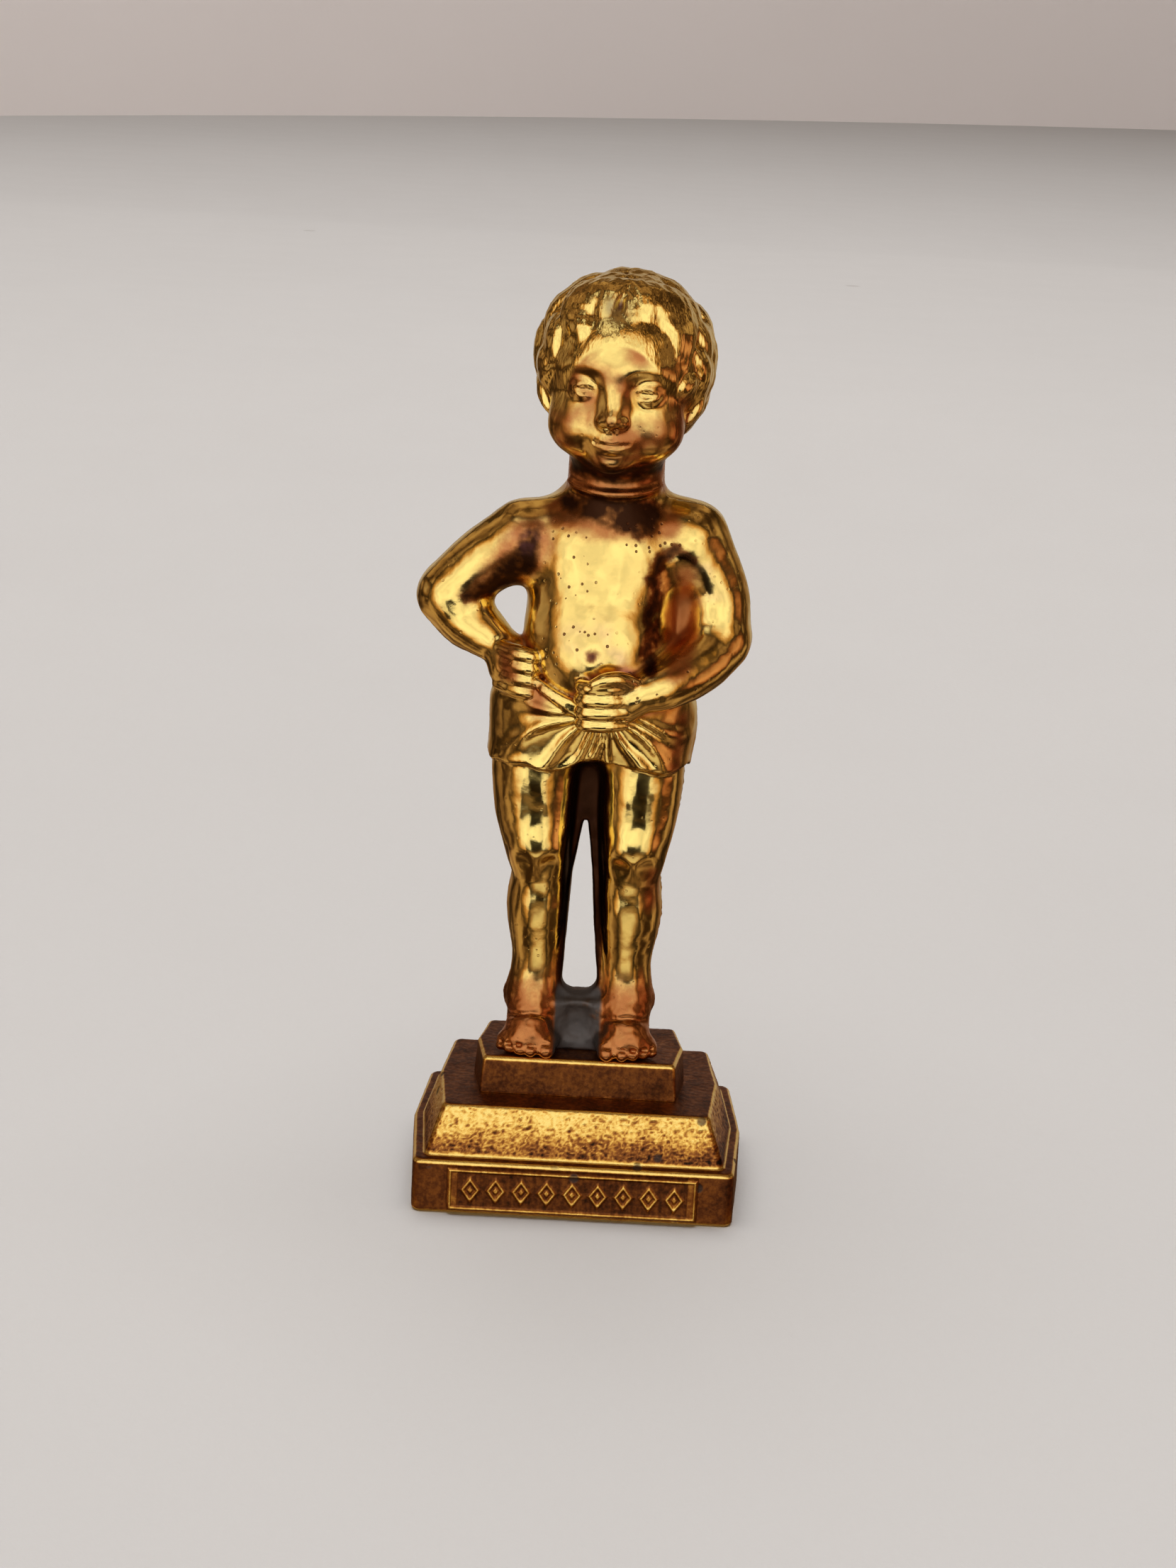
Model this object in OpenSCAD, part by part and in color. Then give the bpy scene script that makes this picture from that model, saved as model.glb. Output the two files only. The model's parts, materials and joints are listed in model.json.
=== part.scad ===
// Souvenir figurine: a small cast child figure standing on a stepped plinth.
// The figure is two hollow half-shells that meet at a seam down both sides. It is pinned to a
// small block, and the block is screwed down to a hollow plinth with a felt-covered underside.
// Frame: +Z up, -Y is the front, origin at the centre of the underside.

/* [Plinth] */
// Width of the slab's front and back faces
slab_w = 30; // [26:0.5:36]
// Depth of the slab from front to back
slab_d = 21.4; // [20:0.2:26]
// Height of the slab
slab_h = 5.3; // [5:0.1:7]
// Height of the sloping tier above the slab
slope_h = 4.6; // [4:0.1:6]
// How far the sloping tier leans in
slope_run = 1.6; // [1:0.1:2.5]
// Flat ledge on the slab, outside the sloping tier
slab_ledge = 1; // [0.5:0.1:1.5]
// How far each side swells out at the mould's parting plane
draft = 0.8; // [0:0.1:1.2]
// Thickness of the plinth casting's walls
plinth_wall = 2.2; // [1.6:0.1:3]

/* [Block] */
// Flat ledge on the sloping tier, outside the block
block_ledge = 3.1; // [2.5:0.1:3.5]
// Height of the block under the feet
block_h = 3.6; // [3:0.1:5]
// How far the block's faces lean in
block_lean = 0.3; // [0:0.1:0.5]

/* [Figure] */
// Height of the figure from soles to crown
figure_h = 73.5; // [60:0.5:90]
// Thickness of the figure's cast walls, before scaling with figure_h
figure_wall = 2.2; // [1.8:0.1:2.6]

/* [Name panel] */
// Width of the blank panel on the slab's front
panel_w = 23.4; // [18:0.2:24]
// Height of the panel
panel_h = 4.4; // [3.5:0.1:4.6]
// Thickness of the panel
panel_t = 0.6; // [0.5:0.1:0.8]

/* [Fasteners] */
// Nominal diameter of the screw that ties the block to the plinth
screw_d = 3; // [2.5:0.1:3]
// Diameter of the pins that register the two half-shells
shell_pin_d = 1.5; // [1.2:0.1:1.6]
// Diameter of the pins in the soles
foot_pin_d = 2; // [1.6:0.1:2.2]
// Diameter of the dowels between the plinth and the block
dowel_d = 1.6; // [1.4:0.1:1.8]
// Thickness of the felt pad in the underside
felt_t = 1.2; // [1:0.1:1.5]

/* [Hidden] */

brass = "#c9a23f";
steel = "#a9abb0";
clearance = 0.05;                 // radial play of a pin in its cast hole
cut = 0.02;                       // how far a cutting shape runs past a face
far = 200;                        // larger than the whole object
ball_fn = 20;
round_fn = 48;

design_h = 73.5;                  // figure height at which the body's points are given
body_scale = figure_h / design_h;

slope_top = slab_h + slope_h;
block_top = slope_top + block_h;
slope_foot_inset = slab_ledge;
slope_head_inset = slab_ledge + slope_run;
block_inset = slope_head_inset + block_ledge;

felt_margin = 1.6;                // metal rim left round the felt
boss_d = 8;
counterbore_d = screw_d * 2 + 0.6;
counterbore_top = felt_t + 3.2;   // seat of the screw head's washer
washer_t = 0.5;
washer_d = screw_d * 2;
head_d = screw_d * 1.8;
head_h = screw_d * 0.6;
thread_depth = block_h - 0.6;     // blind hole in the block
dowel_x = 6.6;
dowel_len = 3.6;
foot_pin_len = 7;
foot_pin_sunk = 2.8;              // length of a foot pin below the soles
shell_pin_len = 3.6;

// Body points: [x, y, z, radius], with z measured from the soles.
crown      = [ 1.0,  0.4, 65.4, 8.0];
jaw        = [ 0.9, -2.6, 60.4, 5.0];
neck_top   = [ 0.8,  0.2, 58.0, 4.3];
neck_foot  = [ 0.7,  0.8, 52.0, 4.3];
chest_l    = [-3.4,  0.3, 48.2, 4.7];
chest_r    = [ 3.8,  0.3, 48.4, 4.7];
waist_l    = [-2.2, -0.4, 41.0, 4.7];
waist_r    = [ 2.2, -0.4, 41.0, 4.7];
belly      = [-0.1, -1.7, 38.8, 5.2];
hip_l      = [-4.6,  0.2, 33.8, 4.6];
hip_r      = [ 3.9,  0.2, 33.8, 4.6];
seat_l     = [-3.6,  1.6, 32.2, 4.3];
seat_r     = [ 3.0,  1.6, 32.2, 4.3];
shoulder_l = [-8.2,  0.6, 49.0, 3.6];
arm_l      = [-11.5, 1.0, 46.5, 3.1];
elbow_l    = [-14.0, 1.1, 43.1, 3.0];
forearm_l  = [-11.3, 0.2, 40.4, 2.5];
wrist_l    = [-9.2, -1.0, 39.2, 2.0];
hand_l     = [-7.6, -2.6, 37.8, 2.3];
shoulder_r = [ 7.7,  0.8, 49.0, 3.6];
arm_r      = [10.3,  0.5, 45.0, 2.95];
elbow_r    = [10.9, -0.6, 40.0, 3.0];
forearm_r  = [ 8.1, -3.4, 37.8, 2.6];
wrist_r    = [ 4.4, -6.2, 36.5, 2.1];
fist_r     = [ 1.3, -7.2, 35.5, 2.5];
thigh_l    = [-5.5, -0.2, 29.0, 4.0];
thigh_r    = [ 4.7, -0.2, 29.0, 3.8];
knee_l     = [-4.9, -1.0, 20.0, 3.1];
knee_r     = [ 4.1, -1.0, 20.0, 3.25];
calf_l     = [-5.0,  0.7, 13.8, 3.15];
calf_r     = [ 4.3,  0.7, 13.8, 3.15];
ankle_l    = [-5.0,  0.5,  5.2, 2.6];
ankle_r    = [ 4.2,  0.5,  5.2, 2.6];
heel_l     = [-4.8,  1.9,  1.9, 2.1];
heel_r     = [ 4.0,  1.9,  1.9, 2.1];
toes_l     = [-5.5, -3.1,  1.3, 1.6];
toes_r     = [ 4.7, -3.1,  1.3, 1.6];
toe_spread = 1.2;

leg_gap_z = [4.9, 22.6];          // open gap between the legs
web_t = 2;                        // thickness of the webs left at the parting plane
foot_web_t = 5;                   // thickness of the web between the feet
shell_pins_at = [[-9.4, 48.0], [8.9, 47.6], [-5.2, 24.5], [4.4, 24.5]];
foot_pins_at = [[-4.9, 0.6], [4.1, 0.6]];

// ---- plan shapes -------------------------------------------------------------

// The plinth's outline, inset by a margin: a rectangle whose sides swell at the parting plane.
module plan(inset) {
    w = slab_w / 2 - inset;
    d = slab_d / 2 - inset;
    polygon([[-w, -d], [w, -d], [w + draft, 0], [w, d], [-w, d], [-w - draft, 0]]);
}

module plan_slice(inset, z) {
    translate([0, 0, z]) linear_extrude(cut) plan(inset);
}

module tier(inset_low, inset_high, z_low, z_high) {
    hull() {
        plan_slice(inset_low, z_low);
        plan_slice(inset_high, z_high - cut);
    }
}

module upright(d, z_low, z_high, fn = round_fn) {
    translate([0, 0, z_low]) cylinder(d = d, h = z_high - z_low, $fn = fn);
}

// ---- figure ------------------------------------------------------------------

module ball(p, thinner = 0) {
    translate([p.x, p.y, p.z]) sphere(r = p[3] - thinner, $fn = ball_fn);
}

module chain(points, thinner = 0) {
    for (i = [0 : len(points) - 2]) hull() {
        ball(points[i], thinner);
        ball(points[i + 1], thinner);
    }
}

module blob(points, thinner = 0) {
    hull() for (p = points) ball(p, thinner);
}

module foot(ankle, heel, toes) {
    hull() {
        ball(heel);
        ball(toes + [-toe_spread, 0, 0, 0]);
        ball(toes + [toe_spread, 0, 0, 0]);
    }
    blob([ankle, heel, toes]);
}

// A flat plate at the parting plane, bounded by points in X and Z.
module web(outline, t = web_t) {
    rotate([90, 0, 0]) linear_extrude(t, center = true) polygon(outline);
}

module webs() {
    web([[-5, leg_gap_z[1]], [4, leg_gap_z[1]], [4, 32], [-5, 32]]);
    web([[-5, 0], [4, 0], [4, leg_gap_z[0]], [-5, leg_gap_z[0]]], foot_web_t);
    web([[5, 49], [9.5, 48], [11, 41], [8, 37], [5, 36]]);
}

// A short cloth wrapped round the hips, its lower edge cut level.
module wrap() {
    hem_z = 28.4;
    intersection() {
        blob([hip_l + [0, 0, 0.6, 0.4], hip_r + [0, 0, 0.6, 0.4], seat_l + [0, 0, 0, 0.3],
              seat_r + [0, 0, 0, 0.3], thigh_l + [0, 0, 0.6, 0.5], thigh_r + [0, 0, 0.6, 0.6]]);
        translate([-far / 2, -far / 2, hem_z]) cube(far);
    }
}

module body_outside() {
    blob([crown, crown + [0, 0, 0.1, 0.05], jaw]);
    chain([neck_foot, neck_top]);
    blob([chest_l, chest_r, waist_l, waist_r]);
    blob([waist_l, waist_r, belly, hip_l, hip_r]);
    blob([neck_foot + [0, 0, 0.4, -1.2], shoulder_l, shoulder_r, chest_l, chest_r]);
    chain([shoulder_l, arm_l, elbow_l, forearm_l, wrist_l, hand_l]);
    chain([shoulder_r, arm_r, elbow_r, forearm_r, wrist_r, fist_r]);
    chain([hip_l, thigh_l, knee_l, calf_l, ankle_l]);
    chain([hip_r, thigh_r, knee_r, calf_r, ankle_r]);
    foot(ankle_l, heel_l, toes_l);
    foot(ankle_r, heel_r, toes_r);
    wrap();
    webs();
}

// The hollow inside head and trunk. The limbs are solid.
module body_hollow() {
    blob([crown, jaw], figure_wall);
    chain([neck_foot, neck_top], figure_wall);
    blob([chest_l, chest_r, waist_l, waist_r], figure_wall);
    blob([waist_l, waist_r, belly, hip_l, hip_r], figure_wall);
}

module shell_pin_rods(extra) {
    for (p = shell_pins_at)
        translate([p[0], 0, p[1]]) rotate([90, 0, 0])
            cylinder(d = shell_pin_d / body_scale + 2 * extra,
                     h = shell_pin_len + 2 * extra, center = true, $fn = round_fn / 2);
}

module foot_pin_rods(extra) {
    for (p = foot_pins_at)
        translate([p[0] * body_scale, p[1] * body_scale, block_top - foot_pin_sunk - extra])
            cylinder(d = foot_pin_d + 2 * extra, h = foot_pin_len + 2 * extra, $fn = round_fn / 2);
}

module place_figure() {
    translate([0, 0, block_top]) scale(body_scale) children();
}

// One half of the figure: side is -1 for the front and 1 for the back.
module half_shell(side) {
    color(brass) intersection() {
        difference() {
            place_figure() difference() {
                body_outside();
                body_hollow();
                shell_pin_rods(clearance);
            }
            foot_pin_rods(clearance);
        }
        translate([-far / 2, side < 0 ? -far : 0, block_top]) cube(far);
    }
}

module figure_front() { half_shell(-1); }

module figure_back() { half_shell(1); }

module shell_pins() { color(steel) place_figure() shell_pin_rods(0); }

module foot_pins() { color(steel) foot_pin_rods(0); }

// ---- plinth and block --------------------------------------------------------

module dowel_rods(extra) {
    for (x = [-dowel_x, dowel_x])
        translate([x, 0, slope_top - dowel_len / 2 - extra])
            cylinder(d = dowel_d + 2 * extra, h = dowel_len + 2 * extra, $fn = round_fn / 2);
}

module top_block() {
    color(brass) difference() {
        tier(block_inset, block_inset + block_lean, slope_top, block_top);
        upright(screw_d + 2 * clearance, slope_top - cut, slope_top + thread_depth);
        foot_pin_rods(clearance);
        dowel_rods(clearance);
    }
}

module panel_recess() {
    translate([-panel_w / 2 - clearance, -slab_d / 2 - cut, (slab_h - panel_h) / 2 - clearance])
        cube([panel_w + 2 * clearance, panel_t / 2 + cut, panel_h + 2 * clearance]);
}

module plinth() {
    color(brass) difference() {
        union() {
            linear_extrude(slab_h) plan(0);
            tier(slope_foot_inset, slope_head_inset, slab_h - cut, slope_top);
        }
        // recess for the felt, then the hollow that keeps the casting light
        translate([0, 0, -cut]) linear_extrude(felt_t + cut) plan(felt_margin);
        difference() {
            tier(slab_ledge + plinth_wall, slope_head_inset + plinth_wall,
                 felt_t - cut, slope_top - plinth_wall);
            upright(boss_d + 2 * plinth_wall, 0, slope_top);
            translate([-dowel_x - dowel_d - 1, -dowel_d - 1, 0])
                cube([2 * (dowel_x + dowel_d + 1), 2 * (dowel_d + 1), slope_top]);
        }
        upright(screw_d + 0.4, 0, slope_top + cut);
        upright(counterbore_d, 0, counterbore_top);
        dowel_rods(clearance);
        panel_recess();
    }
}

module lozenge(w, h, t) {
    rotate([90, 0, 0]) linear_extrude(t) polygon([[-w / 2, 0], [0, -h / 2], [w / 2, 0], [0, h / 2]]);
}

// A blank strip with a raised rim and a row of plain lozenges.
module name_panel() {
    rim = 0.4;
    lozenges = 9;
    lozenge_w = 1.8;
    lozenge_h = 2.6;
    relief = 0.25;
    pitch = (panel_w - 2) / lozenges;
    back_y = -slab_d / 2 + panel_t / 2;
    color(brass) translate([0, back_y, slab_h / 2]) {
        translate([-panel_w / 2, -panel_t, -panel_h / 2]) cube([panel_w, panel_t, panel_h]);
        difference() {
            translate([-panel_w / 2, -panel_t - relief, -panel_h / 2])
                cube([panel_w, panel_t + relief, panel_h]);
            translate([-panel_w / 2 + rim, -panel_t - relief - cut, -panel_h / 2 + rim])
                cube([panel_w - 2 * rim, relief + cut, panel_h - 2 * rim]);
        }
        for (i = [0 : lozenges - 1])
            translate([(i - (lozenges - 1) / 2) * pitch, -panel_t / 2, 0])
                lozenge(lozenge_w, lozenge_h, panel_t / 2 + relief);
    }
}

module locating_dowels() { color(steel) dowel_rods(0); }

module tie_screw() {
    slot_w = 0.7;
    slot_deep = 0.8;
    head_top = counterbore_top - washer_t;
    head_low = head_top - head_h;
    color(steel) difference() {
        union() {
            upright(head_d, head_low, head_top);
            upright(screw_d, head_low, slope_top + thread_depth - 0.3);
        }
        translate([-head_d, -slot_w / 2, head_low - cut]) cube([2 * head_d, slot_w, slot_deep + cut]);
    }
}

module tie_washer() {
    color(steel) difference() {
        upright(washer_d, counterbore_top - washer_t, counterbore_top);
        upright(screw_d + 0.2, 0, slope_top);
    }
}

module base_felt() {
    fit_gap = 0.1;
    color("#35543c") linear_extrude(felt_t) plan(felt_margin + fit_gap);
}

figure_front();
figure_back();
shell_pins();
foot_pins();
top_block();
plinth();
name_panel();
locating_dowels();
tie_screw();
tie_washer();
base_felt();
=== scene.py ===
import json
import math
import random
from collections import namedtuple
from contextlib import contextmanager

import bmesh
import bpy
import numpy as np
from mathutils import Matrix, Vector, noise

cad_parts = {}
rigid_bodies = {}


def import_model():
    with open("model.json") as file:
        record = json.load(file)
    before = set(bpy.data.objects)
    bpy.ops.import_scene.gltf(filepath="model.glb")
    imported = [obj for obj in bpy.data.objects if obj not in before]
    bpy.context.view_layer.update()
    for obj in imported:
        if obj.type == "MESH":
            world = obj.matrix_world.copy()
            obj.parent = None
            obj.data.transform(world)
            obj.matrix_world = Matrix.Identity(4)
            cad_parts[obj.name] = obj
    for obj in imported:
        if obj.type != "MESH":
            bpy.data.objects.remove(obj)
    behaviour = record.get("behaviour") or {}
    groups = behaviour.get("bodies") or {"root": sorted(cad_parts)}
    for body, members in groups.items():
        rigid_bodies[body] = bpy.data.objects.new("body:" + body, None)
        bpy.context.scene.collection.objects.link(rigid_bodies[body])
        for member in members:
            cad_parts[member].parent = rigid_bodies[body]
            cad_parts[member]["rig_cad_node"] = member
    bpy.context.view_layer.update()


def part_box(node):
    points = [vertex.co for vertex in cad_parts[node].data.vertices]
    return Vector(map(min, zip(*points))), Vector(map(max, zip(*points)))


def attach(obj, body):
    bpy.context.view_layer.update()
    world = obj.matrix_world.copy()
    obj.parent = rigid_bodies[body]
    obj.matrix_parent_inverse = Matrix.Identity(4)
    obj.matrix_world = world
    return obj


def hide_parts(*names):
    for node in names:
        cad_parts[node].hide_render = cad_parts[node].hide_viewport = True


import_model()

# The figure is sculpted in millimetres: x to the right, -y to the front, z up from the soles.
MM = 0.001
DESIGN_H = 73.5                          # the figure's height in the sculpt's own numbers
FIGURE_LOW, FIGURE_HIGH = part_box("figure_front")
SCULPT_SCALE = (FIGURE_HIGH.z - FIGURE_LOW.z) / DESIGN_H
AIR = 1000.0                             # distance stored where no shape has been near


# ---- distance fields -------------------------------------------------------------------------

Shape = namedtuple("Shape", "low high distance")    # distance is negative inside


def blend_min(a, b, k):
    """The union of two distances, with a fillet about k wide."""
    h = np.maximum(k - np.abs(a - b), 0) / k
    return np.minimum(a, b) - h * h * k / 4


def blend_max(a, b, k):
    """The overlap of two distances, with a round about k wide."""
    return -blend_min(-a, -b, k)


def egg(centre, radii, turn=None):
    """An ellipsoid; turn is a rotation matrix."""
    centre, radii = np.array(centre, float), np.array(radii, float)
    turn = np.eye(3) if turn is None else turn
    half = np.sqrt(((turn * radii) ** 2).sum(1))

    def distance(x, y, z):
        off = (x - centre[0], y - centre[1], z - centre[2])
        local = [sum(turn[j][i] * off[j] for j in range(3)) / radii[i] for i in range(3)]
        near = np.sqrt(sum(q * q for q in local))
        slope = np.sqrt(sum((q / r) ** 2 for q, r in zip(local, radii)))
        return near * (near - 1) / np.maximum(slope, 1e-6)

    return Shape(centre - half, centre + half, distance)


def chain(points):
    """A tube through points (x, y, z, radius)."""
    p = np.array(points, float)

    def distance(x, y, z):
        best = None
        for (ax, ay, az, ra), (bx, by, bz, rb) in zip(p, p[1:]):
            lx, ly, lz = bx - ax, by - ay, bz - az
            t = ((x - ax) * lx + (y - ay) * ly + (z - az) * lz) / (lx * lx + ly * ly + lz * lz)
            t = np.clip(t, 0, 1)
            gap = np.sqrt((x - ax - t * lx) ** 2 + (y - ay - t * ly) ** 2 + (z - az - t * lz) ** 2)
            gap -= ra + t * (rb - ra)
            best = gap if best is None else np.minimum(best, gap)
        return best

    reach = p[:, 3:]
    return Shape((p[:, :3] - reach).min(0), (p[:, :3] + reach).max(0), distance)


def limb(points, k):
    """A chain whose spans are blended, so that it bends softly."""
    spans = [chain(pair) for pair in zip(points, points[1:])]

    def distance(x, y, z):
        out = spans[0].distance(x, y, z)
        for span in spans[1:]:
            out = blend_min(out, span.distance(x, y, z), k)
        return out

    return Shape(np.min([s.low for s in spans], 0), np.max([s.high for s in spans], 0), distance)


def slab(low, high, rounding):
    """A box with rounded edges."""
    low, high = np.array(low, float), np.array(high, float)
    middle, half = (low + high) / 2, (high - low) / 2 - rounding

    def distance(x, y, z):
        q = [np.abs(v - m) - h for v, m, h in zip((x, y, z), middle, half)]
        outside = np.sqrt(sum(np.maximum(v, 0) ** 2 for v in q))
        return outside + np.minimum(np.maximum(np.maximum(q[0], q[1]), q[2]), 0) - rounding

    return Shape(low, high, distance)


def smooth_path(points, steps):
    """A Catmull-Rom curve through points of any width."""
    p = np.array(points, float)
    p = np.vstack([2 * p[0] - p[1], p, 2 * p[-1] - p[-2]])
    out = []
    for a, b, c, d in zip(p, p[1:], p[2:], p[3:]):
        for t in np.arange(steps) / steps:
            out.append(0.5 * (2 * b + (c - a) * t + (2 * a - 5 * b + 4 * c - d) * t * t
                              + (3 * b - a - 3 * c + d) * t ** 3))
    return np.array(out + [p[-2]])


def curve(points, steps=4):
    """A tube along the smooth curve through points (x, y, z, radius)."""
    return chain(smooth_path(points, steps))


def graded_axis(stops):
    """Grid lines from the first stop to the last; each stop is (place, spacing)."""
    places, spacings = zip(*stops)
    lines = [places[0]]
    while lines[-1] < places[-1]:
        lines.append(lines[-1] + np.interp(lines[-1], places, spacings))
    return np.array(lines)


class Clay:
    """A signed distance field on a graded grid, that shapes are added to and carved from."""

    def __init__(self, axes):
        self.axes = axes
        self.field = np.full([len(a) for a in axes], AIR, np.float32)

    def region(self, low, high):
        """The slices of the grid inside a box, and its coordinates there."""
        slices = []
        for axis, a, b in zip(self.axes, low, high):
            slices.append(slice(max(np.searchsorted(axis, a) - 1, 0), np.searchsorted(axis, b) + 1))
        parts = [axis[s].astype(np.float32) for axis, s in zip(self.axes, slices)]
        return tuple(slices), np.meshgrid(*parts, indexing="ij", sparse=True)

    def add(self, shape, k=0.3, margin=1.2):
        """Melts a shape on, with a fillet about k wide; the field is true for margin round it."""
        margin = max(margin, k)
        slices, place = self.region(shape.low - margin, shape.high + margin)
        self.field[slices] = blend_min(self.field[slices], shape.distance(*place), k)

    def carve(self, shape, k=0.3):
        slices, place = self.region(shape.low - k, shape.high + k)
        self.field[slices] = blend_max(self.field[slices], -shape.distance(*place), k)

    def index(self, points):
        """Where points lie, counted in grid lines."""
        return [np.interp(points[:, i], self.axes[i], np.arange(len(self.axes[i]))) for i in range(3)]

    def sample(self, grids, points):
        """The values of grids at points, by trilinear interpolation."""
        spots = self.index(points)
        low = [np.minimum(s.astype(int), n - 2) for s, n in zip(spots, self.field.shape)]
        part = [s - l for s, l in zip(spots, low)]
        out = [np.zeros(len(points)) for _ in grids]
        for corner in np.ndindex(2, 2, 2):
            weight = np.prod([f if c else 1 - f for f, c in zip(part, corner)], axis=0)
            at = tuple(l + c for l, c in zip(low, corner))
            for total, grid in zip(out, grids):
                total += weight * grid[at]
        return out

    def untangle(self):
        """Fills one corner of each grid square whose corners alternate between metal and air."""
        filled = True
        while filled:
            filled = False
            for u, v in ((0, 1), (1, 2), (0, 2)):
                ends = [[slice(None)] * 3 for _ in range(4)]
                for end, (du, dv) in zip(ends, ((0, 0), (1, 0), (1, 1), (0, 1))):
                    end[u], end[v] = slice(du, du - 1 or None), slice(dv, dv - 1 or None)
                inside = [self.field[tuple(e)] < 0 for e in ends]
                bad = (inside[0] == inside[2]) & (inside[1] == inside[3]) & (inside[0] != inside[1])
                for spot in zip(*np.nonzero(bad)):
                    corners = []
                    for du, dv in ((0, 0), (1, 0), (1, 1), (0, 1)):
                        corner = list(spot)
                        corner[u], corner[v] = corner[u] + du, corner[v] + dv
                        corners.append(tuple(corner))
                    in_air = [c for c in corners if self.field[c] >= 0]
                    if len(in_air) == 2:
                        self.field[min(in_air, key=lambda c: self.field[c])] = -0.02
                        filled = True

    def surface(self):
        """The zero surface as points and quads: one point in each cell that the surface crosses."""
        solid = self.field < 0
        cells = tuple(n - 1 for n in solid.shape)
        count = np.zeros(cells, np.int8)
        corners = list(np.ndindex(2, 2, 2))
        for c in corners:
            count += solid[tuple(slice(o, o + n) for o, n in zip(c, cells))]
        crossed = np.nonzero((count > 0) & (count < 8))
        number = np.full(cells, -1, np.int32)
        number[crossed] = np.arange(len(crossed[0]))
        values = {c: self.field[tuple(i + o for i, o in zip(crossed, c))] for c in corners}
        total, hits = np.zeros((len(crossed[0]), 3)), np.zeros(len(crossed[0]))
        for a in corners:
            for way in range(3):
                if a[way]:
                    continue
                b = tuple(1 if i == way else o for i, o in enumerate(a))
                cut = (values[a] < 0) != (values[b] < 0)
                t = np.where(cut, values[a] / np.where(cut, values[a] - values[b], 1), 0)
                for i in range(3):
                    total[:, i] += cut * (t if i == way else a[i])
                hits += cut
        spot = np.array(crossed).T + total / hits[:, None]
        points = np.stack([np.interp(spot[:, i], np.arange(len(self.axes[i])), self.axes[i])
                           for i in range(3)], 1)
        quads = []
        for way in range(3):
            ahead = np.diff(solid.astype(np.int8), axis=way)
            u, v = (way + 1) % 3, (way + 2) % 3
            inner = [slice(None)] * 3
            inner[u] = inner[v] = slice(1, -1)
            at = list(np.nonzero(ahead[tuple(inner)]))
            sign = ahead[tuple(inner)][tuple(at)]
            at[u], at[v] = at[u] + 1, at[v] + 1
            ring = []
            for du, dv in ((-1, -1), (0, -1), (0, 0), (-1, 0)):
                cell = list(at)
                cell[u], cell[v] = at[u] + du, at[v] + dv
                ring.append(number[tuple(cell)])
            ring = np.stack(ring, 1)
            ring[sign > 0] = ring[sign > 0][:, ::-1]
            quads.append(ring)
        return points, np.concatenate(quads)

    def settle(self, points, quads, rounds):
        """Evens the points out along the surface and puts them back on it."""
        slopes = [g.astype(np.float32) for g in np.gradient(self.field, *self.axes)]
        edges = np.concatenate([quads[:, [i, (i + 1) % 4]] for i in range(4)])
        near = np.bincount(edges.ravel(), minlength=len(points))[:, None]
        for _ in range(rounds):
            mean = np.zeros_like(points)
            for i in range(3):
                mean[:, i] = np.bincount(edges[:, 0], points[edges[:, 1], i], len(points))
                mean[:, i] += np.bincount(edges[:, 1], points[edges[:, 0], i], len(points))
            points = points + 0.5 * (mean / near - points)
            value, *slope = self.sample([self.field] + slopes, points)
            slope = np.stack(slope, 1)
            step = value / np.maximum((slope ** 2).sum(1), 0.05)
            points = points - np.clip(step, -0.2, 0.2)[:, None] * slope
        return points

    def soften(self, radius):
        """Smooths the field where shapes have been added."""
        smooth = self.field
        for way, axis in enumerate(self.axes):
            for _ in range(2):
                smooth = box_mean(smooth, axis, way, radius / 2)
        self.field = np.where(np.abs(self.field) < 2 * radius, smooth, self.field)

    def crowding(self, points, radius):
        """How much of the space round each point is metal: 0.5 on a flat, more in a hollow."""
        share = (self.field < 0).astype(np.float32)
        for way, axis in enumerate(self.axes):
            for _ in range(2):
                share = box_mean(share, axis, way, radius / 2)
        return self.sample([share], points)[0]


def box_mean(grid, axis, way, radius):
    """The mean along one direction over radius to each side."""
    grid = np.moveaxis(grid, way, 0)
    steps = np.diff(axis).reshape(-1, 1, 1)
    sums = np.concatenate([np.zeros_like(grid[:1]), np.cumsum((grid[1:] + grid[:-1]) / 2 * steps, 0)])
    ends = []
    for shift in (-radius, radius):
        spot = np.interp(axis + shift, axis, np.arange(len(axis)))
        low = np.minimum(spot.astype(int), len(axis) - 2)
        part = (spot - low).reshape(-1, 1, 1)
        ends.append(sums[low] * (1 - part) + sums[low + 1] * part)
    return np.moveaxis((ends[1] - ends[0]) / (2 * radius), 0, way).astype(np.float32)


# ---- the figure ------------------------------------------------------------------------------

def rotation(yaw, roll, nod):
    """Turn about Z, then Y, then X, in degrees."""
    a, b, c = (math.radians(v) for v in (yaw, roll, nod))
    about_z = np.array([[math.cos(a), -math.sin(a), 0], [math.sin(a), math.cos(a), 0], [0, 0, 1]])
    about_y = np.array([[math.cos(b), 0, math.sin(b)], [0, 1, 0], [-math.sin(b), 0, math.cos(b)]])
    about_x = np.array([[1, 0, 0], [0, math.cos(c), -math.sin(c)], [0, math.sin(c), math.cos(c)]])
    return about_z @ about_y @ about_x


HEAD_TURN = rotation(-5, 1.6, 2)
HEAD_PIVOT = np.array([0.95, 0.6, 60.0])


def in_head(points):
    """Points given from the head's midline, (x, y, z) or (x, y, z, radius), put on the turned head."""
    p = np.array(points, float)
    flat = p.reshape(-1, p.shape[-1]).copy()
    flat[:, :3] = HEAD_PIVOT + (flat[:, :3] - [0, HEAD_PIVOT[1], HEAD_PIVOT[2]]) @ HEAD_TURN.T
    return flat.reshape(p.shape)


def head_egg(centre, radii):
    return egg(in_head(centre), radii, HEAD_TURN)


def head_chain(points):
    return chain(in_head(points))


def head_curve(points, steps=4):
    return head_chain(smooth_path(points, steps))


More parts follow.
